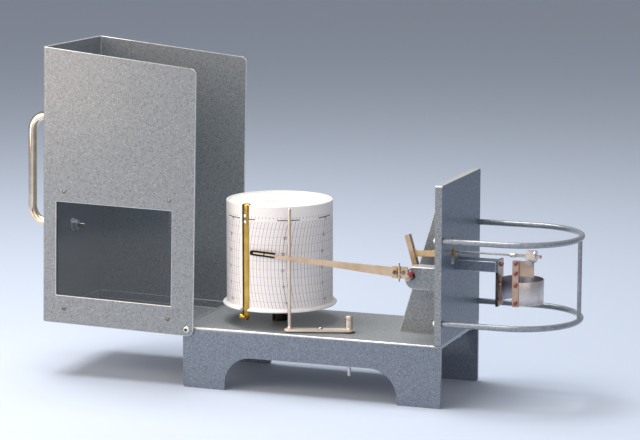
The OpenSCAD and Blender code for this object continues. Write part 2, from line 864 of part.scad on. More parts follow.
module carry_handle() {
    leg = handle_rise - handle_bend;
    color(chrome) seat() opened() {
        handle_places() {
            cylinder(d = handle_d, h = leg);
            translate([0, 0, -stud_l]) cylinder(d = stud_d, h = stud_l + 1);
        }
        translate([handle_x + handle_bend, 0, cover_top + leg]) rotate([90, 0, 0]) rotate([0, 0, 90])
            rotate_extrude(angle = 90) translate([handle_bend, 0]) circle(d = handle_d);
        translate([handle_x + handle_span - handle_bend, 0, cover_top + leg]) rotate([90, 0, 0])
            rotate_extrude(angle = 90) translate([handle_bend, 0]) circle(d = handle_d);
        translate([handle_x + handle_bend, 0, cover_top + handle_rise])
            cyl_x(handle_d, handle_span - 2 * handle_bend);
    }
}

module handle_nuts() {
    color(chrome) seat() opened() handle_places() {
        translate([0, 0, -cover_t - washer_t]) tube(washer_d, stud_d + 2 * bolt_fit, washer_t);
        translate([0, 0, -cover_t - washer_t - nut_h]) hex_nut(nut_af, nut_h, stud_d + 2 * bolt_fit);
    }
}

// Drum body

module drum_shell() {
    color(white_paint) seat() on_drum() translate([0, 0, drum_z + flange_t])
        tube(drum_d, drum_d - 2 * drum_t, drum_h, $fn = 128);
}

module drum_flange() {
    color(white_paint) seat() on_drum() difference() {
        translate([0, 0, drum_z]) cylinder(d = flange_d, h = flange_t, $fn = 128);
        translate([0, 0, drum_z - 1]) cylinder(d = sleeve_d + 2 * bolt_fit, h = flange_t + 2);
        rotate([0, 0, pinion_a]) translate([gear_c, 0, drum_z - 1])
            cylinder(d = arbor_d + 2 * run_fit, h = flange_t + 2);
        rotate([0, 0, clip_a - 90]) translate([drum_r, -clip_w / 2 - free_gap, drum_z - 1])
            cube([flange_d, clip_w + 2 * free_gap, flange_t + 2]);
    }
}

module drum_lid() {
    color(white_paint) seat() on_drum() translate([0, 0, drum_top - lid_sink - lid_t])
        cylinder(d = drum_d - 2 * drum_t - 2 * bolt_fit, h = lid_t, $fn = 128);
}

module chart_paper() {
    color("#f4f2ee") seat() on_drum() translate([0, 0, drum_z + flange_t])
        tube(2 * chart_r, drum_d, drum_h - lid_sink, $fn = 128);
}

module drum_sleeve() {
    color(steel) seat() on_drum() difference() {
        translate([0, 0, sleeve_z]) cylinder(d = sleeve_d, h = sleeve_top + sleeve_wall - sleeve_z);
        translate([0, 0, sleeve_z - 1]) cylinder(d = spindle_d + 2 * run_fit, h = sleeve_top - sleeve_z + 1);
    }
}

module clock_case() {
    color(gold_brass) seat() on_drum() difference() {
        translate([0, 0, clock_z]) cylinder(d = clock_d, h = clock_h);
        translate([0, 0, clock_z - 1]) cylinder(d = clock_d - 2 * clock_t, h = clock_h - clock_t + 1);
        translate([0, 0, clock_z]) cylinder(d = sleeve_d + 2 * bolt_fit, h = clock_h + 1);
    }
}

module clock_plates() {
    color(gold_brass) seat() on_drum() difference() {
        union() {
            for (z = [plate_low_z, plate_high_z]) translate([0, 0, z])
                cylinder(r = clock_plate_r, h = clock_plate_t);
            for (a = [20, 110, 155, 270]) rotate([0, 0, a]) translate([pillar_r, 0, clock_z])
                cylinder(d = pillar_d, h = plate_high_z - clock_z + 1);
        }
        translate([0, 0, clock_z - 1]) cylinder(d = sleeve_d + 1, h = clock_h);
        rotate([0, 0, pinion_a]) translate([gear_c, 0, clock_z])
            cylinder(d = arbor_d + 2 * run_fit, h = clock_h);
        rotate([0, 0, barrel_a]) translate([barrel_c, 0, clock_z])
            cylinder(d = arbor_d + 2 * bolt_fit, h = clock_h);
    }
}

module mainspring_barrel() {
    body_z = plate_low_z + clock_plate_t + free_gap;
    color(gold_brass) seat() on_drum() rotate([0, 0, barrel_a]) translate([barrel_c, 0, 0]) {
        translate([0, 0, body_z]) cylinder(d = barrel_d, h = plate_high_z - free_gap - body_z);
        translate([0, 0, plate_low_z]) cylinder(d = arbor_d, h = plate_high_z + clock_plate_t - plate_low_z);
    }
}

module drive_pinion() {
    color(steel) seat() on_drum() rotate([0, 0, pinion_a]) translate([gear_c, 0, pinion_z]) {
        rotate([0, 0, 180 + 180 / pinion_n]) linear_extrude(pinion_h) polygon(gear_points(pinion_n, gear_m));
        cylinder(d = arbor_d, h = plate_high_z + clock_plate_t - pinion_z);
    }
}

module chart_clip() {
    color(gold_brass) seat() on_drum() rotate([0, 0, clip_a - 90]) {
        intersection() {
            difference() {
                translate([0, 0, curl_z])
                    cylinder(r = clip_r1, h = drum_top + run_fit + clip_t - curl_z, $fn = 128);
                translate([0, 0, curl_z - 1])
                    cylinder(r = clip_r0, h = drum_top + run_fit - curl_z + 1, $fn = 128);
            }
            translate([clip_r0 - clip_hook, -clip_w / 2, curl_z - 1]) cube([2 * clip_hook, clip_w, drum_top]);
        }
        translate([clip_r0 + curl_d / 2, -clip_w / 2, curl_z]) cyl_y(curl_d, clip_w);
    }
}

// Pen shaft body

module pen_shaft() {
    color(steel) seat() difference() {
        translate([shaft_x, hub_y0 - 0.5, shaft_z]) cyl_y(shaft_d, rear_y1 + 0.5 - hub_y0 + 0.5);
        translate([shaft_x, hub_y0 - 1.5, shaft_z]) cyl_y(shaft_d / 3, 2);
    }
}

module rear_lever() {
    color(nickel) seat() translate([shaft_x, 0, shaft_z]) rotate([0, -lever_lean, 0]) difference() {
        union() {
            translate([0, rear_y0, 0]) cyl_y(hub_d, rear_w);
            translate([-lever_t / 2 - lever_aside, rear_y0, 0]) cube([lever_t, rear_w, lever_l]);
        }
        translate([0, rear_y0 - 1, 0]) cyl_y(shaft_d + 2 * bolt_fit, rear_w + 2);
        translate([-lever_t, lever_y - fork_w / 2, link_r - eye_h * 0.8])
            cube([2 * lever_t, fork_w, 1.6 * eye_h]);
        translate([0, rear_y0 - 1, link_r]) cyl_y(link_pin_d + 2 * bolt_fit, rear_w + 2);
    }
}

module link_pin() {
    color(steel) seat() translate([link_x, rear_y0, link_z]) cyl_y(link_pin_d, rear_w);
}

module gate_bracket() {
    color(nickel) seat() difference() {
        union() {
            translate([shaft_x, hub_y0, shaft_z]) cyl_y(hub_d, hub_y1 - hub_y0);
            translate([gate_x, gate_y - leaf_t / 2, gate_z - knuckle_h / 2])
                cube([knuckle_d, leaf_t, knuckle_h]);
            translate([gate_x + leaf_off, gate_y - leaf_t / 2, gate_z - leaf_h / 2])
                cube([leaf_l, leaf_t, leaf_h]);
            translate([gate_x, gate_y, gate_z - knuckle_h / 2]) cylinder(d = knuckle_d, h = knuckle_h);
        }
        translate([shaft_x, hub_y0 - 1, shaft_z]) cyl_y(shaft_d + 2 * bolt_fit, hub_y1 - hub_y0 + 2);
        translate([gate_x, gate_y, gate_z - knuckle_h]) cylinder(d = pin_d + 2 * bolt_fit, h = 2 * knuckle_h);
        translate([shaft_x, (hub_y0 + hub_y1) / 2, shaft_z]) rotate([0, lock_lean, 0])
            cylinder(d = red_shank + 2 * bolt_fit, h = hub_d);
        translate([gate_x + screw_off, gate_y - leaf_t, gate_z])
            cyl_y(slot_shank_d + 2 * bolt_fit, 2 * leaf_t);
    }
}

module gate_pin() {
    pin_h = knuckle_h + 2 * knuckle_side + 5.6;
    color(steel) seat() translate([gate_x, gate_y, gate_z - pin_h / 2]) cylinder(d = pin_d, h = pin_h);
}

module bracket_screw() {
    color(gold_brass) seat() translate([gate_x + screw_off, gate_y - leaf_t / 2, gate_z])
        rotate([90, 0, 0]) rotate([0, 0, 40]) slotted(slot_screw_d, slot_screw_h, slot_shank_d, leaf_t);
}

module hub_lock_screw() {
    color(lacquer_red) seat() translate([shaft_x, (hub_y0 + hub_y1) / 2, shaft_z]) rotate([0, lock_lean, 0]) {
        translate([0, 0, shaft_d / 2 + bolt_fit]) cylinder(d = red_shank, h = hub_d / 2);
        translate([0, 0, hub_d / 2]) cylinder(d = red_d, h = lock_head_h);
    }
}

// Pen arm body, lying along -X from the gate hinge

module pen_arm() {
    rise = tip_z - gate_z;
    mid = gate_z + rise * nib_x / arm_l;
    tongue = 1.6;
    color(nickel) seat() on_gate() difference() {
        depth(-leaf_t / 2 - arm_t, -leaf_t / 2) {
            polygon([[-leaf_off, gate_z - arm_root / 2], [-leaf_off, gate_z + arm_root / 2],
                [-nib_x, mid + arm_tip / 2], [-nib_x, mid - arm_tip / 2]]);
            translate([-nib_x, mid]) rotate(-atan2(rise, arm_l)) translate([-nib_l + 6, -tongue / 2])
                square([nib_l - 5, tongue]);
        }
        translate([-screw_off, -leaf_t, gate_z]) rotate([90, 0, 0])
            cylinder(d = slot_shank_d + 2 * bolt_fit, h = 4, center = true);
    }
}

module arm_leaf() {
    tall = knuckle_h / 2 + knuckle_side;
    side_h = knuckle_side - free_gap;
    color(nickel) seat() on_gate() difference() {
        union() {
            translate([-leaf_l - 1, -leaf_t / 2, gate_z - tall])
                cube([leaf_l + 1 - leaf_off, leaf_t, 2 * tall]);
            for (z = [gate_z - tall, gate_z + tall - side_h]) translate([0, 0, z]) {
                cylinder(d = knuckle_d, h = side_h);
                translate([-knuckle_d, -leaf_t / 2, 0]) cube([knuckle_d, leaf_t, side_h]);
            }
        }
        translate([0, 0, gate_z - 2 * tall]) cylinder(d = pin_d + 2 * run_fit, h = 4 * tall);
        translate([-screw_off, 0, gate_z]) rotate([90, 0, 0])
            cylinder(d = slot_shank_d + 2 * bolt_fit, h = cut_l, center = true);
    }
}

module arm_screw() {
    color(gold_brass) seat() on_gate() translate([-screw_off, -leaf_t / 2 - arm_t, gate_z])
        rotate([90, 0, 0]) rotate([0, 0, -35])
            slotted(slot_screw_d, slot_screw_h, slot_shank_d, leaf_t + arm_t);
}

module pen_nib() {
    rise = tip_z - gate_z;
    slit = 1.6 + 2 * run_fit;
    nib_y = -leaf_t / 2 - arm_t / 2;
    color(pen_black) seat() on_gate() depth(nib_y - nib_t / 2, nib_y + nib_t / 2)
        translate([-arm_l, tip_z]) rotate(-atan2(rise, arm_l)) difference() {
            union() {
                translate([nib_w / 2, -nib_w / 2]) square([nib_l - 3.15 - nib_w / 2, nib_w]);
                translate([nib_w / 2, 0]) circle(d = nib_w);
            }
            translate([3 - run_fit, -slit / 2]) square([nib_l, slit]);
        }
}

// Link body: everything that the free end of the band pushes

module link_bar() {
    color(nickel) seat() difference() {
        union() {
            depth(lever_y - link_t / 2, lever_y + link_t / 2) {
                translate([link_x - eye_l / 2, link_z - eye_h / 2 - 0.4]) square([eye_l, eye_h]);
                polygon([[link_x, bar_z - bar_fall], [bar_x1, bar_z], [bar_x1, bar_z + link_h],
                    [link_x, bar_z + link_h - bar_fall]]);
                translate([bar_x1 - bar_lug, bar_z]) square([bar_lug, wire_z + wire_d - bar_z]);
            }
            translate([base_l + 2, wire_y, wire_z]) cyl_x(wire_d, adjust_x0 + 3 - base_l - 2);
        }
        translate([0, lever_y - link_t, 0]) {
            for (z = [link_z - eye_down, link_z + eye_up]) translate([link_x, 0, z]) cyl_y(eye_w, 2 * link_t);
            translate([link_x - eye_w / 2, 0, link_z - eye_down])
                cube([eye_w, 2 * link_t, eye_down + eye_up]);
        }
    }
}

module adjusting_screw() {
    color(nickel) seat() difference() {
        union() {
            translate([adjust_x0, wire_y, wire_z]) cyl_x(adjust_d, adjust_x1 - adjust_x0);
            translate([adjust_x0, wire_y, wire_z]) cyl_x(adjust_end, 5);
        }
        translate([adjust_x0 - 1, wire_y, wire_z]) cyl_x(wire_d + 2 * bolt_fit, 4 + bolt_fit);
    }
}

module lock_nut() {
    color(nickel) seat() translate([clamp_x + clamp_w, wire_y, wire_z]) rotate([0, 90, 0])
        tube(lock_d, adjust_d + 2 * bolt_fit, lock_t);
}

module clamp_block() {
    color(nickel) seat() difference() {
        union() {
            translate([clamp_x, strip_y - 0.4, clamp_z]) cube([clamp_w, clamp_d, clamp_h]);
            translate([clamp_x + clamp_w / 2, strip_y - 0.4, clamp_screw_z])
                cyl_y(clamp_lug_d, strip_t + 0.4);
            translate([clamp_x + (clamp_w - clamp_neck) / 2, strip_y - 0.4, clamp_screw_z])
                cube([clamp_neck, strip_t + 0.4, clamp_z + 1 - clamp_screw_z]);
        }
        translate([clamp_x - 1, wire_y, wire_z]) cyl_x(adjust_d + 2 * bolt_fit, clamp_w + 2);
        translate([clamp_x + clamp_w / 2, strip_y - 2, clamp_screw_z]) cyl_y(red_shank + 2 * bolt_fit, 6);
    }
}

module clamp_screw() {
    color(steel) seat() translate([clamp_x + clamp_w / 2, strip_y - 0.4, clamp_screw_z]) rotate([90, 0, 0])
        rotate([0, 0, 60]) slotted(clamp_head_d, 1.6, red_shank, strip_t + 1.4);
}

module free_end_plate() {
    color(nickel) seat() difference() {
        translate([tang_x, strip_y + strip_t, tang_z]) cube([tang_w, 1, tang_h]);
        free_screw_places() cylinder(d = red_shank + 2 * bolt_fit, h = cut_l, center = true);
        translate([clamp_x + clamp_w / 2, strip_y, clamp_screw_z]) cyl_y(red_shank + 2 * bolt_fit, 6);
    }
}

// Two screws through the plate, two through the band
module free_screw_places() {
    for (z = [strip_z + strip_h - tab_edge, tang_z + tab_edge, ring_z + ring_w - tab_edge, ring_z + tab_edge])
        translate([ring_x, strip_y, z]) rotate([90, 0, 0]) children();
}

module free_end_strip() {
    color(nickel) seat() difference() {
        translate([ring_x - strip_w / 2, strip_y, strip_z]) cube([strip_w, strip_t, strip_h]);
        free_screw_places() cylinder(d = red_shank + 2 * bolt_fit, h = cut_l, center = true);
    }
}

module free_end_screws() {
    color(lacquer_red) seat() free_screw_places() slotted(red_d, red_h, red_shank, strip_t + ring_t);
}

// Lifter body

module lifter_lever() {
    color(nickel) seat() on_lifter() difference() {
        translate([0, 0, lift_z]) {
            translate([-lifter_l, -lifter_w / 2, 0]) cube([lifter_l, lifter_w, lift_t]);
            for (x = [0, -lifter_l]) translate([x, 0, 0]) cylinder(d = lifter_w, h = lift_t);
        }
        translate([0, 0, lift_z - 1]) cylinder(d = lift_d + 2 * bolt_fit, h = lift_t + 2);
        translate([-lifter_l, 0, lift_z - 1]) cylinder(d = rod_d - 1 + 2 * bolt_fit, h = lift_t + 2);
        for (y = [0, guide_run]) translate([-guide_r, y, lift_z - 1])
            cylinder(d = guide_d + free_gap, h = lift_t + 2);
        translate([-guide_r - (guide_d + free_gap) / 2, 0, lift_z - 1])
            cube([guide_d + free_gap, guide_run, lift_t + 2]);
    }
}

module lifter_rod() {
    rod_z = lift_z + lift_t;
    color(nickel) seat() translate([rod_x, rod_y, 0]) {
        translate([0, 0, rod_z]) cylinder(d = rod_d, h = base_h + rod_up - rod_z);
        translate([0, 0, base_h + rod_up]) dome(rod_d, rod_d / 4);
        translate([0, 0, lift_z]) cylinder(d = rod_d - 1, h = lift_t + 1);
    }
}

module lifter_knob() {
    groove = 0.4;
    color(nickel) seat() translate([lift_x, lift_y, lift_z + lift_t]) difference() {
        union() {
            cylinder(d = knob_d - 2 * groove, h = knob_h);
            cylinder(d = knob_d, h = knob_h - 2.6);
            translate([0, 0, knob_h - 2]) cylinder(d = knob_d, h = 2);
        }
        translate([0, 0, -1]) cylinder(d = lift_d + 2 * bolt_fit, h = knob_h - 2);
    }
}

module lifter_shaft() {
    collar_z = lift_bush_z - free_gap - lift_collar_h;
    color(steel) seat() translate([lift_x, lift_y, 0]) {
        translate([0, 0, lift_foot]) cylinder(d = lift_d, h = lift_z + lift_t + knob_h - 4 - lift_foot);
        translate([0, 0, collar_z]) cylinder(d = lift_collar_d, h = lift_collar_h);
    }
}

base_channel();
end_plate();
plate_screws();
gusset();
bearing_block();
bearing_bushes();
guard_upper_hoop();
guard_lower_hoop();
guard_upright();
guard_screws();
hinge_lugs();
hinge_screws();
drum_spindle();
centre_gear();
spindle_nut();
lifter_bush();
lifter_guide_screw();
sensor_arm();
sensor_plate();
sensor_screws();
bimetal_ring();
cover_shell();
cover_end_panel();
window_pane();
window_screws();
carry_handle();
handle_nuts();
drum_shell();
drum_flange();
drum_lid();
chart_paper();
drum_sleeve();
clock_case();
clock_plates();
mainspring_barrel();
drive_pinion();
chart_clip();
pen_shaft();
rear_lever();
link_pin();
gate_bracket();
gate_pin();
bracket_screw();
hub_lock_screw();
pen_arm();
arm_leaf();
arm_screw();
pen_nib();
link_bar();
adjusting_screw();
lock_nut();
clamp_block();
clamp_screw();
free_end_plate();
free_end_strip();
free_end_screws();
lifter_lever();
lifter_rod();
lifter_knob();
lifter_shaft();
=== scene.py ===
import bmesh
import bpy
import json
import math
from mathutils import Matrix, Vector


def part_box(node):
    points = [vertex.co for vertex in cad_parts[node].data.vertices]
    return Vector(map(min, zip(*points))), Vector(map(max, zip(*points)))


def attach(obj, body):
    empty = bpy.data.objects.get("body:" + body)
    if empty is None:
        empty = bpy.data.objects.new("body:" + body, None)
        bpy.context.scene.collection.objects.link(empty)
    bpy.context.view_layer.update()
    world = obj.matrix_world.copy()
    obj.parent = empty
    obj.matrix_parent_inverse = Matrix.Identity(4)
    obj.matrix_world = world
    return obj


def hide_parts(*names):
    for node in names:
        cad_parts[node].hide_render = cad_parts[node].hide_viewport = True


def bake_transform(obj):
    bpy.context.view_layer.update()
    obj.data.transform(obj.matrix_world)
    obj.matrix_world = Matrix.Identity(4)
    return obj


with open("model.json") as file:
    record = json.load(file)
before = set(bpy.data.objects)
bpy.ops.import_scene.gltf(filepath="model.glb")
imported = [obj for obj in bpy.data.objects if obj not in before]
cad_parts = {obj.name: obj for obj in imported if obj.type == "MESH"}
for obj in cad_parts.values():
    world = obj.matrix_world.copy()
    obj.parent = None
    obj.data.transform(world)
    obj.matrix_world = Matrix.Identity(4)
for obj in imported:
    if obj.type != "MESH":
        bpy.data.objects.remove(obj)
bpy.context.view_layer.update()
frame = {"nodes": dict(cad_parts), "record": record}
nodes = frame["nodes"]
slotOf = {row["node"]: row["material_slot"] for row in frame["record"]["subparts"]}
bodyOf = {node: body for body, group in frame["record"]["behaviour"]["bodies"].items() for node in group}
mm = 0.001
weld = 1e-6  # metres: points as near as this are one
baseLow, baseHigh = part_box("base_channel")
print("frame loaded:", len(nodes), "nodes")


def at(x, y, z):  # millimetres from the hinge end, the front edge and the table
    return Vector((baseLow.x + x * mm, baseLow.y + y * mm, z * mm))


# camera, found from the photo's edges, and the studio

cameraSet = {
    "lens": 134.45,
    "sensor": 36,
    "farthest": 60,  # metres
    "place": (820.72, -1866.83, 487.49),  # from the base's corner, like at()
    "azimuth": 20.377,
    "elevation": 9.4806,
}
studioSet = {
    "floor": "#c3cddd",
    "floorSize": 14.0,
    "floorRoughness": 0.7,
    "sky": "#e9ecf2",
    "skyStrength": 0.4,
    "lamps": [  # name, place and aim in metres, watts, size in metres, colour
        ("keyLamp", (-0.62, -0.56, 0.36), (-0.1, -0.03, 0.15), 3.2, 0.5, "#ffe8d2"),
        ("softBox", (-0.2, -1.4, 0.85), (0.02, 0.0, 0.12), 5.5, 1.2, "#fff3e6"),
        ("fillLamp", (1.1, -1.25, 0.8), (0.0, 0.0, 0.13), 4.0, 1.3, "#fff6ee"),
        ("topLamp", (-0.4, 0.0, 1.55), (0.0, 0.05, 0.13), 28.0, 1.0, "#ffffff"),
    ],
}


def linear(hexColour):  # sRGB hex to linear RGBA
    parts = [int(hexColour[i:i + 2], 16) / 255 for i in (1, 3, 5)]
    return [c / 12.92 if c <= 0.04045 else ((c + 0.055) / 1.055) ** 2.4 for c in parts] + [1.0]


def addNode(tree, kind, settings=None, inputs=None):
    node = tree.nodes.new(kind)
    for key, value in (settings or {}).items():
        setattr(node, key, value)
    for key, value in (inputs or {}).items():
        if isinstance(value, bpy.types.NodeSocket):
            tree.links.new(value, node.inputs[key])
        else:
            node.inputs[key].default_value = value
    return node


def startMaterial(name, sockets):
    material = bpy.data.materials.new(name)
    material.use_nodes = True
    shader = material.node_tree.nodes["Principled BSDF"]
    for key, value in sockets.items():
        shader.inputs[key].default_value = value
    return material, material.node_tree, shader


def deselectAll():
    if bpy.context.object and bpy.context.object.mode != "OBJECT":
        bpy.ops.object.mode_set(mode="OBJECT")
    bpy.ops.object.select_all(action="DESELECT")


def focus(piece):  # the only one selected, and active
    deselectAll()
    piece.select_set(True)
    bpy.context.view_layer.objects.active = piece


def openEdit(piece):
    focus(piece)
    bpy.ops.object.mode_set(mode="EDIT")
    bpy.ops.mesh.select_all(action="SELECT")


def closeEdit():
    bpy.ops.object.mode_set(mode="OBJECT")


def closeOutward():  # normals recalculated first
    bpy.ops.mesh.select_all(action="SELECT")
    bpy.ops.mesh.normals_make_consistent(inside=False)
    closeEdit()


def turnOver(piece):  # an open sheet that came out facing the wrong way
    openEdit(piece)
    bpy.ops.mesh.flip_normals()
    closeEdit()


def pick(piece, kind, test):  # selects what passes the test, in edit mode
    bpy.ops.mesh.select_mode(type=kind)
    bpy.ops.mesh.select_all(action="DESELECT")
    mesh = bmesh.from_edit_mesh(piece.data)
    for item in {"VERT": mesh.verts, "EDGE": mesh.edges, "FACE": mesh.faces}[kind]:
        if test(item):
            item.select_set(True)
    mesh.select_flush_mode()
    bmesh.update_edit_mesh(piece.data)


def applyModifier(piece, kind, settings):
    modifier = piece.modifiers.new(kind.lower(), kind)
    for key, value in settings.items():
        setattr(modifier, key, value)
    focus(piece)
    bpy.ops.object.modifier_apply(modifier=modifier.name)


def settle(piece):  # place, turn and scale go into the mesh
    focus(piece)
    bpy.ops.object.transform_apply(location=True, rotation=True, scale=True)


def smooth(piece, angle):
    focus(piece)
    bpy.ops.object.shade_smooth_by_angle(angle=math.radians(angle))


def joinPieces(parts):  # into the first of them
    deselectAll()
    for part in parts:
        part.select_set(True)
    bpy.context.view_layer.objects.active = parts[0]
    bpy.ops.object.join()


def chain(name, points):  # one vertex, extruded from point to point
    deselectAll()
    bpy.ops.mesh.primitive_plane_add(size=0.01)
    piece = bpy.context.object
    piece.name = name
    bpy.ops.object.mode_set(mode="EDIT")
    bpy.ops.mesh.select_mode(type="VERT")
    bpy.ops.mesh.select_all(action="SELECT")
    bpy.ops.mesh.merge(type="CENTER")
    bpy.ops.transform.translate(value=points[0])
    for before, after in zip(points, points[1:]):
        bpy.ops.mesh.extrude_vertices_move(TRANSFORM_OT_translate={"value": after - before})
    return piece


def lathe(name, centre, profile, steps):  # (radius, height) in mm, turned about a standing axis
    piece = chain(name, [centre + Vector((radius * mm, 0, height * mm)) for radius, height in profile])
    bpy.ops.mesh.select_all(action="SELECT")
    bpy.ops.mesh.spin(steps=steps, angle=2 * math.pi, center=centre, axis=(0, 0, 1))
    bpy.ops.mesh.select_all(action="SELECT")
    bpy.ops.mesh.remove_doubles(threshold=weld)
    closeOutward()
    return piece


def dress(piece, material, body, slot, *replaced):
    if material.name not in [m.name for m in piece.data.materials if m]:
        piece.data.materials.append(material)
    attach(piece, body)
    if replaced:
        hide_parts(*replaced)
    return piece


def arc(centre, radius, start, end, steps):  # points (a, b) on a circle, angles in degrees
    turns = [math.radians(start + (end - start) * i / steps) for i in range(steps + 1)]
    return [(centre[0] + radius * math.cos(t), centre[1] + radius * math.sin(t)) for t in turns]


def makeStudio():
    camera = bpy.data.objects.new("photoCamera", bpy.data.cameras.new("photoCamera"))
    bpy.context.scene.collection.objects.link(camera)
    camera.data.lens = cameraSet["lens"]
    camera.data.sensor_width = cameraSet["sensor"]
    camera.data.clip_end = cameraSet["farthest"]
    a, e = math.radians(cameraSet["azimuth"]), math.radians(cameraSet["elevation"])
    back = Vector((math.sin(a) * math.cos(e), -math.cos(a) * math.cos(e), math.sin(e)))
    camera.location = at(*cameraSet["place"])
    camera.rotation_mode = "QUATERNION"
    camera.rotation_quaternion = (-back).to_track_quat("-Z", "Y")
    bpy.context.scene.camera = camera
    deselectAll()
    bpy.ops.mesh.primitive_plane_add(size=studioSet["floorSize"])
    floor = bpy.context.object
    floor.name = "studioFloor"
    floor.data.materials.append(startMaterial("paleFloor", {
        "Base Color": linear(studioSet["floor"]), "Roughness": studioSet["floorRoughness"]})[0])
    world = bpy.data.worlds.new("studioSky")
    bpy.context.scene.world = world
    world.use_nodes = True
    sky = world.node_tree.nodes["Background"]
    sky.inputs["Color"].default_value = linear(studioSet["sky"])
    sky.inputs["Strength"].default_value = studioSet["skyStrength"]
    for name, place, aim, watts, size, colour in studioSet["lamps"]:
        lamp = bpy.data.objects.new(name, bpy.data.lights.new(name, "AREA"))
        lamp.data.energy = watts
        lamp.data.size = size
        lamp.data.color = linear(colour)[:3]
        lamp.location = place
        lamp.rotation_mode = "QUATERNION"
        lamp.rotation_quaternion = (Vector(aim) - lamp.location).to_track_quat("-Z", "Y")
        bpy.context.scene.collection.objects.link(lamp)


makeStudio()
print("studio and camera set")

# finishes

finishSet = {
    "paints": {  # pit, body, rim and glint of the grain, then the clear coat's weight and roughness
        "hammertoneEnamel": ("#595f65", "#6c7277", "#7f858a", "#b2b8ba", 0.7, 0.2),
        # painted shade: a darker, bluer copy of the enamel, for the base and the hinge lugs
        "hammertoneEnamelShaded": ("#475160", "#566171", "#677282", "#98a1ad", 0.9, 0.1),
        # painted deeper shade: a darker, bluer copy of the enamel, for the end plate and the sensor arm
        "hammertoneEnamelDeepShade": ("#3d4859", "#4a5768", "#5a6779", "#8491a2", 0.25, 0.2),
        # painted light: a lighter copy of the enamel with a duller coat, for the base's wiped top
        "hammertoneEnamelWipedPaintedLight": ("#666b6e", "#777b7e", "#878b8d", "#b2b8ba", 0.2, 0.2),
    },
    "hammerGrain": {  # mm, and where on the pattern its tones lie
        "dimple": 2.4, "flake": 1.0, "pitAt": 0.12, "bodyAt": 0.4, "rimAt": 0.75,
        "glintFrom": 0.58, "glintTo": 0.8, "flakeHeight": 0.3, "bump": 0.28, "deep": 0.4,
    },
    "mottled": {  # two tones, patch in mm, where on the noise the second comes in, roughness, sockets
        # red locking lacquer dabbed on by brush: glossy, and paler where it ran thin
        "redLockingLacquer": ("#8c0912", "#ad1b25", 1.6, (0.55, 0.75), (0.2, 0.4), {
            "Coat Weight": 0.8, "Coat Roughness": 0.1}),
        # painted highlight: the hammertone enamel over edges and bends, drawn near white as a light line
        "enamelEdgePaintedHighlight": ("#a4a9af", "#eeeeec", 2.5, (0, 1), (0.25, 0.4), {
            "Metallic": 0.3, "Coat Weight": 0.8, "Coat Roughness": 0.12}),
        # painted light: a lighter copy of the enamel over the guard's rods
        "enamelRodPaintedLight": ("#5f6873", "#a4a9af", 2.5, (0, 1), (0.25, 0.4), {
            "Metallic": 0.3, "Coat Weight": 0.8, "Coat Roughness": 0.12}),
        # black moulded pen, duller where ink has dried on it
        "inkedBlackPen": ("#060508", "#120d17", 3, (0, 1), (0.25, 0.55), {
            "Coat Weight": 0.05, "Coat Roughness": 0.15, "Specular IOR Level": 0.15}),
        # cream reservoir felt inside the pen, matt and stained by ink
        "creamPenFelt": ("#efe2c4", "#c9b48c", 2.2, (0, 1), None, {
            "Roughness": 0.8, "Specular IOR Level": 0.2}),
    },
    "enamel": {"tone": "#f4f3f0", "dust": "#eae8e3", "peel": 1.8, "patch": 24, "deep": 0.1},
    "pane": {"tone": "#aab2b8", "index": 1.49, "wipesPerMetre": (9, 30, 60), "wipeLean": 0.5},
    "wear": {"patch": 9, "bump": 0.12, "deep": 0.05},  # mm, on all the metals
    "metals": {  # tone, shade, roughness, and the stretch in mm of the drawn, turned or rolled lines
        "polishedNickelPlate": ("#f0e0ca", "#dccab2", 0.08, (40, 40, 40)),
        "polishedBrass": ("#c6a558", "#ac8a3e", 0.16, (1.2, 1.2, 30)),
        "drawnNickelBrass": ("#d6bea3", "#c6aa8b", 0.32, (25, 0.6, 0.6)),
        "creamNickelPlate": ("#e6d8cb", "#d8c9ba", 0.34, (6, 6, 0.6)),
        "satinNickelPlatePaintedLight": ("#f3e8de", "#e8dcd0", 0.62, (6, 6, 0.6)),
        "paleBrass": ("#e8ca9e", "#dab98a", 0.3, (25, 0.6, 0.6)),
        "nickelSilver": ("#c2aa97", "#ae9481", 0.32, (6, 6, 0.6)),
        "whiteNickelPlate": ("#d3ccc7", "#bfb7b2", 0.2, (0.6, 6, 6)),
        "brightZincPlate": ("#f8f8f6", "#ececea", 0.5, (6, 6, 6)),
        "turnedSteel": ("#b9b7b4", "#96938f", 0.3, (6, 6, 0.4)),
        "bluedSteel": ("#4d4540", "#2a2523", 0.22, (6, 6, 0.5)),
        "oiledSteel": ("#958c84", "#655c55", 0.2, (6, 6, 0.5)),
        "rolledBimetal": ("#d8d0cd", "#cdc4c0", 0.3, (8, 8, 0.5)),
        "rolledBimetalInnerFace": ("#a8a4aa", "#938f96", 0.34, (8, 8, 0.5)),
    },
}


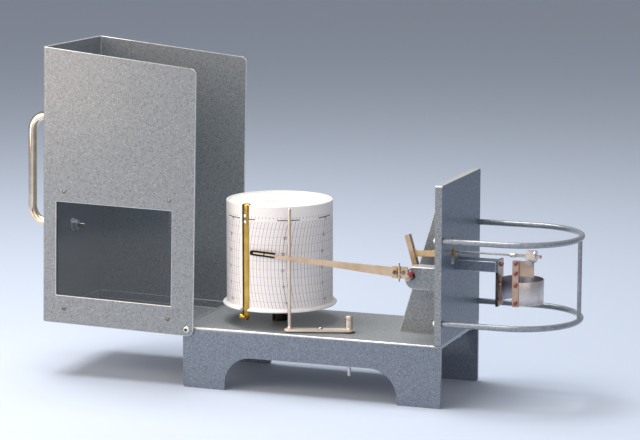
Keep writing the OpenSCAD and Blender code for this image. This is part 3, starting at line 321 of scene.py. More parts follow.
def makePaint(name):
    # hammertone stove enamel on steel: small dimples and silver flake under a clear gloss,
    # drawn a little coarser than the real grain so that it shows
    pit, body, rim, spark, gloss, haze = finishSet["paints"][name]
    grain = finishSet["hammerGrain"]
    enamel, tree, shader = startMaterial(name, {
        "Metallic": 0.0, "Coat Weight": gloss, "Coat Roughness": haze})
    place = addNode(tree, "ShaderNodeTexCoord").outputs["Object"]
    cells = addNode(tree, "ShaderNodeTexVoronoi", {"feature": "SMOOTH_F1"}, {
        "Vector": place, "Scale": 1 / (grain["dimple"] * mm), "Detail": 1.0, "Smoothness": 0.4})
    tones = addNode(tree, "ShaderNodeValToRGB", {}, {"Fac": cells.outputs["Distance"]})
    ramp = tones.color_ramp.elements
    ramp[0].position = grain["pitAt"]
    ramp[0].color = linear(pit)
    ramp[1].position = grain["rimAt"]
    ramp[1].color = linear(rim)
    ramp.new(grain["bodyAt"]).color = linear(body)
    flake = addNode(tree, "ShaderNodeTexNoise", {}, {
        "Vector": place, "Scale": 1 / (grain["flake"] * mm), "Detail": 1.0, "Roughness": 0.6})
    glint = addNode(tree, "ShaderNodeMapRange", {}, {
        "Value": flake.outputs["Fac"], "From Min": grain["glintFrom"], "From Max": grain["glintTo"]})
    colour = addNode(tree, "ShaderNodeMix", {"data_type": "RGBA"}, {
        "Factor": glint.outputs["Result"], "A": tones.outputs["Color"], "B": linear(spark)})
    rough = addNode(tree, "ShaderNodeMapRange", {}, {
        "Value": flake.outputs["Fac"], "From Min": 0.35, "From Max": 0.72, "To Min": 0.52, "To Max": 0.3})
    height = addNode(tree, "ShaderNodeMath", {"operation": "MULTIPLY_ADD"}, {
        0: flake.outputs["Fac"], 1: grain["flakeHeight"], 2: cells.outputs["Distance"]})
    bump = addNode(tree, "ShaderNodeBump", {}, {
        "Height": height.outputs[0], "Strength": grain["bump"], "Distance": grain["deep"] * mm})
    tree.links.new(colour.outputs["Result"], shader.inputs["Base Color"])
    tree.links.new(rough.outputs["Result"], shader.inputs["Roughness"])
    tree.links.new(bump.outputs["Normal"], shader.inputs["Normal"])
    return enamel


def makeMottled(name):
    # two tones of one stuff in soft patches, with the gloss changing over them
    tone, other, size, patch, dull, sockets = finishSet["mottled"][name]
    finish, tree, shader = startMaterial(name, sockets)
    place = addNode(tree, "ShaderNodeTexCoord").outputs["Object"]
    noise = addNode(tree, "ShaderNodeTexNoise", {}, {
        "Vector": place, "Scale": 1 / (size * mm), "Detail": 2.0})
    share = addNode(tree, "ShaderNodeMapRange", {}, {
        "Value": noise.outputs["Fac"], "From Min": patch[0], "From Max": patch[1]})
    colour = addNode(tree, "ShaderNodeMix", {"data_type": "RGBA"}, {
        "Factor": share.outputs["Result"], "A": linear(tone), "B": linear(other)})
    tree.links.new(colour.outputs["Result"], shader.inputs["Base Color"])
    if dull:
        rough = addNode(tree, "ShaderNodeMapRange", {}, {
            "Value": noise.outputs["Fac"], "To Min": dull[0], "To Max": dull[1]})
        tree.links.new(rough.outputs["Result"], shader.inputs["Roughness"])
    return finish


def makeMetal(name):
    # bare and plated metal: lines from drawing, turning or rolling, made coarser than real so that
    # they show, and broad dull patches from handling
    tone, shade, roughness, streak = finishSet["metals"][name]
    wear = finishSet["wear"]
    finish, tree, shader = startMaterial(name, {"Metallic": 1.0})
    place = addNode(tree, "ShaderNodeTexCoord").outputs["Object"]
    lines = addNode(tree, "ShaderNodeMapping", {}, {
        "Vector": place, "Scale": [1 / (s * mm) for s in streak]})
    grain = addNode(tree, "ShaderNodeTexNoise", {}, {
        "Vector": lines.outputs["Vector"], "Scale": 1.0, "Detail": 3.0, "Roughness": 0.6})
    patch = addNode(tree, "ShaderNodeTexNoise", {}, {
        "Vector": place, "Scale": 1 / (wear["patch"] * mm), "Detail": 2.0})
    dull = addNode(tree, "ShaderNodeMapRange", {}, {
        "Value": patch.outputs["Fac"], "From Min": 0.35, "From Max": 0.7})
    colour = addNode(tree, "ShaderNodeMix", {"data_type": "RGBA"}, {
        "Factor": dull.outputs["Result"], "A": linear(tone), "B": linear(shade)})
    rough = addNode(tree, "ShaderNodeMapRange", {}, {
        "Value": grain.outputs["Fac"], "From Min": 0.25, "From Max": 0.75,
        "To Min": roughness * 0.75, "To Max": roughness * 1.35})
    bump = addNode(tree, "ShaderNodeBump", {}, {
        "Height": grain.outputs["Fac"], "Strength": wear["bump"], "Distance": wear["deep"] * mm})
    tree.links.new(colour.outputs["Result"], shader.inputs["Base Color"])
    tree.links.new(rough.outputs["Result"], shader.inputs["Roughness"])
    tree.links.new(bump.outputs["Normal"], shader.inputs["Normal"])
    return finish


def makeEnamel():
    # white stove enamel on a spun aluminium cup, with a faint orange peel
    look = finishSet["enamel"]
    enamel, tree, shader = startMaterial("whiteEnamel", {"Coat Weight": 0.3, "Coat Roughness": 0.2})
    place = addNode(tree, "ShaderNodeTexCoord").outputs["Object"]
    peel = addNode(tree, "ShaderNodeTexNoise", {}, {
        "Vector": place, "Scale": 1 / (look["peel"] * mm), "Detail": 1.5})
    dust = addNode(tree, "ShaderNodeTexNoise", {}, {
        "Vector": place, "Scale": 1 / (look["patch"] * mm), "Detail": 3.0})
    colour = addNode(tree, "ShaderNodeMix", {"data_type": "RGBA"}, {
        "Factor": dust.outputs["Fac"], "A": linear(look["tone"]), "B": linear(look["dust"])})
    rough = addNode(tree, "ShaderNodeMapRange", {}, {
        "Value": dust.outputs["Fac"], "To Min": 0.3, "To Max": 0.5})
    bump = addNode(tree, "ShaderNodeBump", {}, {
        "Height": peel.outputs["Fac"], "Strength": 0.1, "Distance": look["deep"] * mm})
    tree.links.new(colour.outputs["Result"], shader.inputs["Base Color"])
    tree.links.new(rough.outputs["Result"], shader.inputs["Roughness"])
    tree.links.new(bump.outputs["Normal"], shader.inputs["Normal"])
    return enamel


def makePane():
    # clear cast acrylic sheet, with a few wiping marks in its gloss
    look = finishSet["pane"]
    pane, tree, shader = startMaterial("acrylicPane", {
        "Base Color": linear(look["tone"]), "Transmission Weight": 1.0, "IOR": look["index"]})
    place = addNode(tree, "ShaderNodeTexCoord").outputs["Object"]
    wipe = addNode(tree, "ShaderNodeMapping", {}, {
        "Vector": place, "Scale": look["wipesPerMetre"], "Rotation": (0, look["wipeLean"], 0)})
    marks = addNode(tree, "ShaderNodeTexNoise", {}, {
        "Vector": wipe.outputs["Vector"], "Scale": 1.0, "Detail": 4.0})
    rough = addNode(tree, "ShaderNodeMapRange", {}, {
        "Value": marks.outputs["Fac"], "From Min": 0.45, "From Max": 0.75, "To Min": 0.0, "To Max": 0.05})
    tree.links.new(rough.outputs["Result"], shader.inputs["Roughness"])
    return pane


paint, shadedPaint, deepShadePaint, wipedTopPaintedLight = [makePaint(name) for name in finishSet["paints"]]
lacquer, edgeHighlightPaint, rodPaintedLight, ink, core = [makeMottled(name) for name in finishSet["mottled"]]
enamel, pane = makeEnamel(), makePane()
metal = {name: makeMetal(name) for name in finishSet["metals"]}
finishOfSlot = {
    "hammer": paint, "bright": metal["polishedNickelPlate"], "brass": metal["polishedBrass"],
    "nickel": metal["drawnNickelBrass"], "steel": metal["turnedSteel"], "bimetal": metal["rolledBimetal"],
    "lacquer": metal["whiteNickelPlate"], "white": enamel, "nib": ink, "pane": pane, "paper": enamel,
}
nodesOfMetal = {  # nodes that differ from the rest of their slot
    # painted light: the lifter lever takes a lighter, duller nickel plate, to brighten it in the drum's
    # shadow
    "satinNickelPlatePaintedLight": ("lifter_lever",),
    "creamNickelPlate": ("lifter_rod", "lifter_knob", "clamp_block"),
    "whiteNickelPlate": ("lifter_guide_screw", "adjusting_screw", "lock_nut"),
    "brightZincPlate": ("lifter_shaft", "guard_screws", "hinge_screws", "handle_nuts"),
    "nickelSilver": ("free_end_strip", "free_end_plate"),
    "paleBrass": ("link_bar",),
    "polishedBrass": ("gate_pin", "hub_lock_screw"),
    "turnedSteel": ("clamp_screw",),
    # painted shade: the sensor hanger and the bearing bushes take the dark steel for the shade they stand in
    "bluedSteel": ("sensor_plate", "drum_spindle", "spindle_nut", "lifter_bush", "bearing_bushes"),
    "oiledSteel": ("free_end_screws", "sensor_screws", "arm_screw", "bracket_screw", "window_screws"),
}
finishOfNode = {node: metal[name] for name, group in nodesOfMetal.items() for node in group}
# painted light: the guard's rods take the lighter copy of the enamel
finishOfNode.update({node: rodPaintedLight for node in ("guard_upper_hoop", "guard_lower_hoop", "guard_upright")})
# painted shade: the base and the hinge lugs take the darker, bluer copy of the enamel
finishOfNode.update({node: shadedPaint for node in ("base_channel", "hinge_lugs")})
# painted deeper shade on the end plate and the sensor arm
finishOfNode.update({node: deepShadePaint for node in ("end_plate", "sensor_arm")})


def finishOf(node):
    return finishOfNode.get(node, finishOfSlot[slotOf[node]])


print("finishes mixed:", len(finishSet["paints"]), "paints and", len(metal), "metals among them")

# sheet metal, blocks, rods and small turned pieces: the solids with their edges eased

easedSet = {  # node: how far its edges are eased, in mm
    "base_channel": 0.5, "end_plate": 0.8, "gusset": 0.6, "bearing_block": 1.5, "sensor_arm": 0.7,
    "cover_shell": 0.5, "cover_end_panel": 0.4, "hinge_lugs": 0.5,
    "guard_upper_hoop": 0.4, "guard_lower_hoop": 0.4, "guard_upright": 0.2,
    "guard_screws": 0.25, "hinge_screws": 0.25, "window_screws": 0.15, "plate_screws": 0.3,
    "carry_handle": 0.3, "handle_nuts": 0.35, "spindle_nut": 0.5,
    "rear_lever": 0.3, "gate_bracket": 0.2, "arm_leaf": 0.18, "pen_arm": 0.14,
    "arm_screw": 0.2, "bracket_screw": 0.2, "hub_lock_screw": 0.35, "pen_shaft": 0.25, "link_pin": 0.15,
    "link_bar": 0.2, "adjusting_screw": 0.25, "lock_nut": 0.4, "clamp_block": 0.5, "clamp_screw": 0.3,
    "free_end_plate": 0.2, "free_end_strip": 0.3, "free_end_screws": 0.25,
    "sensor_plate": 0.3, "sensor_screws": 0.25,
    "lifter_lever": 0.35, "lifter_rod": 0.2, "lifter_shaft": 0.3, "lifter_guide_screw": 0.2,
    "lifter_bush": 0.25, "bearing_bushes": 0.2, "window_pane": 0.3,
}
easeRule = {  # mm and degrees
    "weld": 0.002, "flat": 0.6, "sharp": 38, "steps": 2, "shade": 50, "panel": 1.2,
}
freeEase = ("cover_shell",)  # its smallest edges would hold the easing back everywhere


def camel(node):
    words = (node if "_" in node else node + "_sheet").split("_")
    return words[0] + "".join(word.capitalize() for word in words[1:])


def levelPanels(piece):  # a wide flat panel is lit as one plane, whatever its rims and holes do
    mesh = piece.data
    for face in mesh.polygons:
        ends = [mesh.vertices[i].co for i in face.vertices]
        girth = sum((b - a).length for a, b in zip(ends, ends[1:] + ends[:1]))
        if 2 * face.area / girth > easeRule["panel"] * mm:
            face.use_smooth = False


footSet = {"corner": 2.2, "steps": 6, "near": 0.01}  # mm: the feet's lower corners


def roundFeet(piece):  # the edges on the table that run from front to back
    near = footSet["near"] * mm
    pick(piece, "EDGE", lambda edge: all(abs(vert.co.z) < near for vert in edge.verts)
         and abs(edge.verts[0].co.x - edge.verts[1].co.x) < near)
    bpy.ops.mesh.bevel(offset=footSet["corner"] * mm, segments=footSet["steps"])


def easeEdges(node, ease):
    s = easeRule
    finish = finishOf(node)
    piece = bpy.data.objects.new(camel(node), nodes[node].data.copy())
    bpy.context.scene.collection.objects.link(piece)
    piece.data.materials.clear()
    piece.data.materials.append(finish)
    painted = finish in (paint, shadedPaint, deepShadePaint)
    # painted pieces carry the painted highlight on their eased edges
    if painted:
        piece.data.materials.append(edgeHighlightPaint)
    openEdit(piece)
    bpy.ops.mesh.remove_doubles(threshold=s["weld"] * mm)
    bpy.ops.mesh.dissolve_limited(angle_limit=math.radians(s["flat"]))
    if node == "base_channel":
        roundFeet(piece)
    closeEdit()
    applyModifier(piece, "BEVEL", {
        "width": ease * mm, "segments": s["steps"], "limit_method": "ANGLE",
        "angle_limit": math.radians(s["sharp"]), "material": 1 if painted else -1,
        "use_clamp_overlap": node not in freeEase})
    smooth(piece, s["shade"])
    levelPanels(piece)
    return dress(piece, finish, bodyOf[node], slotOf[node], node)


eased = {node: easeEdges(node, ease) for node, ease in easedSet.items()}
print("edges eased on", len(eased), "pieces")

fitSet = {"gussetShort": 4.0, "gussetTop": 1.5, "uprightSlim": 0.72}  # mm, mm and a share of the width
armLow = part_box("sensor_arm")[0].z


def fitPlateParts():  # the gusset ends below the plate's top, and the upright is slimmer than the hoops
    s = fitSet
    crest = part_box("gusset")[1].z - s["gussetTop"] * mm
    openEdit(eased["gusset"])
    pick(eased["gusset"], "VERT", lambda vert: vert.co.z > crest)
    bpy.ops.transform.translate(value=(0, 0, -s["gussetShort"] * mm))
    closeEdit()
    low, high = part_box("guard_upright")
    openEdit(eased["guard_upright"])
    slim = s["uprightSlim"]
    bpy.ops.transform.resize(value=(slim, slim, 1), center_override=(low + high) / 2)
    closeEdit()
    openEdit(eased["sensor_plate"])  # the arm's painted shade runs on over the hanger's upper end
    bpy.ops.mesh.bisect(plane_co=(0, 0, armLow), plane_no=(0, 0, 1))
    closeEdit()


fitPlateParts()

socketSet = {"flats": 2.8, "deep": 1.1}  # mm: hex sockets of the hinge screws


def cutSockets():
    s = socketSet
    screws = eased["hinge_screws"]
    low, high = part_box("hinge_screws")
    for head in (low.y, high.y):
        deselectAll()
        bpy.ops.mesh.primitive_cylinder_add(
            vertices=6, radius=s["flats"] / math.sqrt(3) * mm, depth=2 * s["deep"] * mm,
            rotation=(math.pi / 2, 0, 0), location=((low.x + high.x) / 2, head, (low.z + high.z) / 2))
        tool = bpy.context.object
        settle(tool)
        tool.data.materials.append(metal["bluedSteel"])
        applyModifier(screws, "BOOLEAN", {
            "object": tool, "operation": "DIFFERENCE", "solver": "EXACT", "material_mode": "TRANSFER"})
        bpy.data.objects.remove(tool)
    smooth(screws, easeRule["shade"])


cutSockets()

sillSet = {  # mm: where it is, the rim that is picked, and how far that is turned down
    "reach": (20, 70), "depth": 3, "near": 0.02, "rim": 0.2, "band": 0.8, "turned": 1.0,
}


def turnSill():  # the window's lower edge is rubbed round, and its widened edge carries the painted highlight line
    s = sillSet
    cover = eased["cover_shell"]
    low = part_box("cover_shell")[0]
    under, over = [low.z + reach * mm for reach in s["reach"]]
    level = [face for face in cover.data.polygons if face.normal.z > 0.95
             and under < face.center.z < over and face.center.y < low.y + s["depth"] * mm]
    sill = max(level, key=lambda face: face.area)
    middle, slope = sill.center.copy(), sill.normal.x / sill.normal.z
    half = max(abs(cover.data.vertices[i].co.x - middle.x) for i in sill.vertices) + s["band"] * mm

    def onRim(vert):  # the front rim of the eased edge
        drop = middle.z - (vert.co.x - middle.x) * slope - vert.co.z
        return (vert.co.y < low.y + s["near"] * mm and abs(vert.co.x - middle.x) < half
                and s["rim"] * mm < drop < s["band"] * mm)

    openEdit(cover)
    pick(cover, "VERT", onRim)
    bpy.ops.transform.translate(value=(0, 0, -s["turned"] * mm))
    closeEdit()


turnSill()
print("sockets cut and window sill rubbed round")

# drum, lid, chart and its figures

drumSet = {
    "axis": (69.0, 55.7), "foot": 69.6, "flange": 50.1, "flangeTop": 71.6, "wall": 46.4, "top": 162.0,
    "inner": 44.4, "hole": 6.15, "lip": 1.0, "fillet": 2.2, "rimRound": 0.7, "innerRound": 0.5,
    "clipTurn": -107.6, "notchOut": 51.45, "notchUp": 71.0, "notch": (10, 8.1, 5.6),
    "steps": 160, "shade": 40,
}
lidSet = {
    "foot": 159.5, "rim": 44.0, "footRound": 0.5, "top": 161.5, "topRound": 0.7, "steps": 128,
    "dish": [(30, 161.45), (6, 161.4), (4.5, 160.9), (0, 160.9)],
}


def makeDrum():
    s = drumSet
    centre = at(*s["axis"], 0)
    lip, fillet, rim, inner = s["lip"], s["fillet"], s["rimRound"], s["innerRound"]
    profile = [(s["hole"], s["foot"])]
    profile += arc((s["flange"] - lip, s["foot"] + lip), lip, -90, 60, 8)
    profile += arc((s["wall"] + fillet, s["flangeTop"] + fillet), fillet, 255, 180, 7)
    profile += arc((s["wall"] - rim, s["top"] - rim), rim, 0, 90, 5)
    profile += arc((s["inner"] + inner, s["top"] - inner), inner, 90, 180, 4)
    profile += [(s["inner"], s["flangeTop"]), (s["hole"], s["flangeTop"]), (s["hole"], s["foot"])]
    drum = lathe("drumCup", centre, profile, s["steps"])
    # the clip's notch in the flange
    deselectAll()
    turn = math.radians(s["clipTurn"])
    out = Vector((math.cos(turn), math.sin(turn), 0))
    spot = centre + (out * s["notchOut"] + Vector((0, 0, s["notchUp"]))) * mm
    bpy.ops.mesh.primitive_cube_add(size=1, location=spot, rotation=(0, 0, turn))
    tool = bpy.context.object
    tool.scale = Vector(s["notch"]) * mm
    settle(tool)
    applyModifier(drum, "BOOLEAN", {"object": tool, "operation": "DIFFERENCE", "solver": "EXACT"})
    bpy.data.objects.remove(tool)
    smooth(drum, s["shade"])
    dress(drum, enamel, "drum", "white", "drum_shell", "drum_flange")


def makeLid():
    s = lidSet
    low, high = s["footRound"], s["topRound"]
    profile = [(0, s["foot"])] + arc((s["rim"] - low, s["foot"] + low), low, -90, 0, 3)
    profile += arc((s["rim"] - high, s["top"] - high), high, 0, 90, 4) + s["dish"]
    lid = lathe("drumLid", at(*drumSet["axis"], 0), profile, s["steps"])
    smooth(lid, drumSet["shade"])
    dress(lid, enamel, "drum", "white", "drum_lid")


makeDrum()
makeLid()
print("drum turned")

chartSet = {
    "radius": 46.5, "thick": 0.12, "low": 73.0, "high": 161.3, "day": 39.4, "days": 7, "end": 285.6,
    "bow": 145.0, "bowCentre": 109.9, "row": 7.1, "rowFrom": 78.7, "gridHigh": 148.5, "arcsPerDay": 12,
    "rule": 0.42, "rowRule": 0.315, "dayRule": 0.63, "fine": 0.16, "fineRows": 5, "fineArcs": 2,
    "barHeight": 150.0, "bar": 0.85, "tick": 0.6, "tickUp": 1.9, "steps": 180, "seamGap": 0.004,
    "ruleInk": "#9a91a0", "rowInk": "#bab3be", "fineInk": "#d6d1d8", "barInk": "#3f3d41",
    "tone": "#f6f3f0", "shade": "#ece8e4", "fibresPerMm": 0.7,
}


def bowAt(height):  # how far a time arc has swung by this height, as the pen's tip does
    s = chartSet
    return s["bow"] - math.sqrt(s["bow"] ** 2 - (height - s["bowCentre"]) ** 2)


def makeChartPaper():
    # machine-made chart paper: off-white, with grey arcs every two hours, fine rules and bars for the
    # nights, its fibres coarser than real so that they show
    s = chartSet
    paper, tree, shader = startMaterial("printedChartPaper", {"Roughness": 0.75, "Specular IOR Level": 0.3})
    uv = addNode(tree, "ShaderNodeUVMap", {"uv_map": "chartMm"})
    split = addNode(tree, "ShaderNodeSeparateXYZ", {}, {"Vector": uv.outputs["UV"]})
    along, height = split.outputs["X"], split.outputs["Y"]

    def work(operation, a, b=0.0):
        return addNode(tree, "ShaderNodeMath", {"operation": operation}, {0: a, 1: b}).outputs[0]

    def rules(value, spacing, width):  # 1 on a rule, 0 between
        return work("LESS_THAN", work("PINGPONG", value, spacing / 2), width / 2)

    lift = work("SUBTRACT", height, s["bowCentre"])
    chord = work("SQRT", work("SUBTRACT", s["bow"] ** 2, work("MULTIPLY", lift, lift)))
    swung = work("ADD", along, work("SUBTRACT", chord, s["bow"] - bowAt(s["barHeight"])))
    rows = work("SUBTRACT", height, s["rowFrom"])
    printed = work("LESS_THAN", along, s["end"])
    inGrid = work("MULTIPLY", work("LESS_THAN", height, s["gridHigh"]), printed)
    arcGap = s["day"] / s["arcsPerDay"]
    fineRow = rules(rows, s["row"] / s["fineRows"], s["fine"])
    fineArc = rules(swung, arcGap / s["fineArcs"], s["fine"])
    fine = work("MULTIPLY", work("MAXIMUM", fineRow, fineArc), inGrid)
    level = work("MULTIPLY", rules(rows, s["row"], s["rowRule"]), inGrid)
    strong = work("MULTIPLY", rules(swung, arcGap, s["rule"]), inGrid)
    midnight = work("MULTIPLY", rules(swung, s["day"], s["dayRule"]), inGrid)
    night = work("LESS_THAN", work("PINGPONG", along, s["day"] / 2), s["day"] / 4)
    atBar = work("LESS_THAN", work("ABSOLUTE", work("SUBTRACT", height, s["barHeight"])), s["bar"] / 2)
    bar = work("MULTIPLY", work("MULTIPLY", atBar, night), printed)
    overBar = work("SUBTRACT", height, s["barHeight"] + s["tickUp"])
    atTick = work("LESS_THAN", work("ABSOLUTE", overBar), s["tick"])
    tick = work("MULTIPLY", work("MULTIPLY", rules(along, arcGap, s["tick"]), atTick), printed)
    fibre = addNode(tree, "ShaderNodeTexNoise", {}, {
        "Vector": uv.outputs["UV"], "Scale": s["fibresPerMm"], "Detail": 3.0})
    tone = addNode(tree, "ShaderNodeMix", {"data_type": "RGBA"}, {
        "Factor": fibre.outputs["Fac"], "A": linear(s["tone"]), "B": linear(s["shade"])})
    inks = [(fine, "fineInk"), (level, "rowInk"), (strong, "ruleInk"), (midnight, "ruleInk"),
            (tick, "ruleInk"), (bar, "barInk")]
    for mask, colour in inks:
        tone = addNode(tree, "ShaderNodeMix", {"data_type": "RGBA"}, {
            "Factor": mask, "A": tone.outputs["Result"], "B": linear(s[colour])})
    bump = addNode(tree, "ShaderNodeBump", {}, {
        "Height": fibre.outputs["Fac"], "Strength": 0.05, "Distance": 0.1 * mm})
    tree.links.new(tone.outputs["Result"], shader.inputs["Base Color"])
    tree.links.new(bump.outputs["Normal"], shader.inputs["Normal"])
    return paper


def makeChart():
    s = chartSet
    centre = at(*drumSet["axis"], 0)
    seam = math.radians(drumSet["clipTurn"])
    start = centre + Vector((math.cos(seam), math.sin(seam), 0)) * s["radius"] * mm
    chart = chain("chartSheet", [start + Vector((0, 0, end * mm)) for end in (s["low"], s["high"])])
    bpy.ops.mesh.select_all(action="SELECT")
    bpy.ops.mesh.spin(steps=s["steps"], angle=2 * math.pi - s["seamGap"], center=centre, axis=(0, 0, 1))
    closeOutward()
    face = chart.data.polygons[0]
    if face.normal.dot(face.center - centre) < 0:
        turnOver(chart)
    applyModifier(chart, "SOLIDIFY", {"thickness": s["thick"] * mm, "offset": 1.0})
    layer = chart.data.uv_layers.new(name="chartMm")
    for face in chart.data.polygons:
        middle = face.center - centre
        faceTurn = (math.atan2(middle.y, middle.x) - seam) % (2 * math.pi)
        for corner in face.loop_indices:
            spot = chart.data.vertices[chart.data.loops[corner].vertex_index].co - centre
            turn = (math.atan2(spot.y, spot.x) - seam) % (2 * math.pi)
            if turn - faceTurn > math.pi:
                turn -= 2 * math.pi
            elif faceTurn - turn > math.pi:
                turn += 2 * math.pi
            layer.data[corner].uv = (turn * s["radius"], spot.z / mm)
    smooth(chart, drumSet["shade"])
    dress(chart, makeChartPaper(), "drum", "paper", "chart_paper")


makeChart()
print("chart wrapped round the drum")

figureSet = {
    "size": 3.7, "scale": (-10, 0, 10, 20, 30, 40), "rowGap": 14.2, "drop": 0.9, "proud": 0.16,
    "tone": "#55525a",
}


def makeFigures():
    # printing ink, laid on the paper as the scale's figures
    s = figureSet
    printInk = startMaterial("blackPrintingInk", {"Base Color": linear(s["tone"]), "Roughness": 0.6})[0]
    centre, up = at(*drumSet["axis"], 0), Vector((0, 0, 1))
    figures = []
    for day in range(1, chartSet["days"] + 1):
        for row, value in enumerate(s["scale"]):
            height = chartSet["rowFrom"] + row * s["rowGap"]
            turn = math.radians(drumSet["clipTurn"]) + (
                day * chartSet["day"] + bowAt(height) - bowAt(chartSet["barHeight"])) / chartSet["radius"]
            out = Vector((math.cos(turn), math.sin(turn), 0))
            deselectAll()
            bpy.ops.object.text_add()
            figure = bpy.context.object
            figure.data.body = str(value)
            figure.data.size = s["size"] * mm
            figure.data.align_x = "CENTER"
            figure.data.align_y = "CENTER"
            bpy.ops.object.convert(target="MESH")
            spot = centre + (out * (chartSet["radius"] + s["proud"]) + up * (height - s["drop"])) * mm
            axes = Matrix((up.cross(out), up, out)).transposed()
            figure.matrix_world = Matrix.Translation(spot) @ axes.to_4x4()
            settle(figure)
            figures.append(figure)
    joinPieces(figures)
    figures[0].name = "chartFigures"
    dress(figures[0], printInk, "drum", "paper")


makeFigures()
print("chart figures printed")

# chart clip: a sprung brass strip of arched section, hooked over the drum's rim and rolled at the foot

clipSet = {
    "halfWidth": 3.7, "arch": 0.6, "face": 46.9, "sheet": 0.2, "rollAt": (48.95, 64.4), "top": 162.5,
    "bend": 0.8, "hook": 2.6, "rivets": (152.6, 147.3), "rivetRadius": 1.4, "rivetProud": 0.6,
    "rivetSunk": 0.05, "core": 1.7, "coreRound": 0.6, "archSteps": 16, "rollSteps": 10, "rollTurn": 30,
    "shankSteps": 6, "bendSteps": 6, "shade": 40,
}


def rollOver(steps, turn, x, z):  # what is selected is drawn on round a line across the clip
    for _ in range(steps):
        bpy.ops.mesh.extrude_region_move(TRANSFORM_OT_translate={"value": (0, 0, 0)})
        bpy.ops.transform.rotate(
            value=math.radians(turn), orient_axis="Y", center_override=(x * mm, 0, z * mm))


def makeClip():
    s = clipSet
    rollX, rollZ = s["rollAt"]
    points = []
    for i in range(s["archSteps"] + 1):
        step = 2 * i / s["archSteps"] - 1
        across = step * s["halfWidth"]
        face = s["face"] + (1 - step ** 2) * s["arch"] - across ** 2 / (2 * s["face"])
        points.append(Vector((face, across, rollZ)) * mm)
    clip = chain("chartClip", points)
    bpy.ops.mesh.select_all(action="SELECT")
    rollOver(s["rollSteps"], s["rollTurn"], rollX, rollZ)
    pick(clip, "VERT", lambda v: abs(v.co.z - rollZ * mm) < weld and v.co.x < rollX * mm)
    shank = s["top"] - s["bend"] - rollZ
    rise = shank / s["shankSteps"] * mm
    for _ in range(s["shankSteps"]):
        bpy.ops.mesh.extrude_region_move(TRANSFORM_OT_translate={"value": (0, 0, rise)})
    rollOver(s["bendSteps"], 90 / s["bendSteps"], s["face"] - s["bend"], s["top"] - s["bend"])
    bpy.ops.mesh.extrude_region_move(TRANSFORM_OT_translate={"value": (-s["hook"] * mm, 0, 0)})
    bpy.ops.mesh.select_all(action="SELECT")
    bpy.ops.mesh.remove_doubles(threshold=weld)
    closeOutward()
    halfway = Vector((s["face"], 0, rollZ + shank / 2)) * mm
    if min(clip.data.polygons, key=lambda face: (face.center - halfway).length).normal.x < 0:
        turnOver(clip)
    applyModifier(clip, "SOLIDIFY", {"thickness": s["sheet"] * mm, "offset": -1.0})
    clip.data.materials.append(metal["polishedBrass"])
    deselectAll()
    bpy.ops.mesh.primitive_cylinder_add(
        vertices=32, radius=s["core"] * mm, depth=2 * s["halfWidth"] * mm, rotation=(math.pi / 2, 0, 0),
        location=(rollX * mm, 0, rollZ * mm))
    rollCore = bpy.context.object
    settle(rollCore)
    applyModifier(rollCore, "BEVEL", {"width": s["coreRound"] * mm, "segments": 3, "limit_method": "ANGLE"})
    rollCore.data.materials.append(metal["polishedBrass"])
    parts = [clip, rollCore]
    ridge = (s["face"] + s["arch"] - s["rivetSunk"]) * mm
    for height in s["rivets"]:
        spot = (ridge, 0, height * mm)
        deselectAll()
        bpy.ops.mesh.primitive_uv_sphere_add(
            segments=20, ring_count=12, radius=s["rivetRadius"] * mm, location=spot)
        rivet = bpy.context.object
        openEdit(rivet)
        bpy.ops.mesh.bisect(plane_co=spot, plane_no=(1, 0, 0), clear_inner=True, use_fill=True)
        bpy.ops.mesh.select_all(action="SELECT")
        bpy.ops.transform.resize(value=(s["rivetProud"] / s["rivetRadius"], 1, 1), center_override=spot)
        closeEdit()
        rivet.data.materials.append(metal["brightZincPlate"])
        parts.append(rivet)
    joinPieces(parts)
    clip.matrix_world = Matrix.Translation(at(*drumSet["axis"], 0)) @ Matrix.Rotation(
        math.radians(drumSet["clipTurn"]), 4, "Z")
    settle(clip)
    smooth(clip, s["shade"])
    dress(clip, metal["polishedBrass"], "clip", "brass", "chart_clip")


makeClip()
print("chart clip bent")

# pen: a black hairpin holder with a cream felt between its cheeks, crossed by a bridge

nibSet = {
    "tip": (60.2, 7.47, 121.6), "tail": (79.0, 6.91, 120.55), "length": 23.4, "tipHalf": 2.2,
    "tailHalf": 2.35, "thick": 1.3, "rim": 1.55, "slotFrom": 3.1, "ease": 0.18, "felt": 0.9, "feltEase": 0.1,
    "bridgeAt": 13.4, "bridge": (1.2, 1.14, 2.6), "bridgeEase": 0.15, "shade": 40,
}


def makeCheek(name, outline, thick, ease, finish):  # an outline in mm, as thick to the front as to the back
    cheek = chain(name, [Vector((a, -thick / 2, b)) * mm for a, b in outline])
    bpy.ops.mesh.select_all(action="SELECT")
    bpy.ops.mesh.edge_face_add()
    bpy.ops.mesh.extrude_region_move(TRANSFORM_OT_translate={"value": (0, thick * mm, 0)})
    closeOutward()
    cheek.data.materials.append(finish)
    applyModifier(cheek, "BEVEL", {"width": ease * mm, "segments": 2, "limit_method": "ANGLE"})
    return cheek


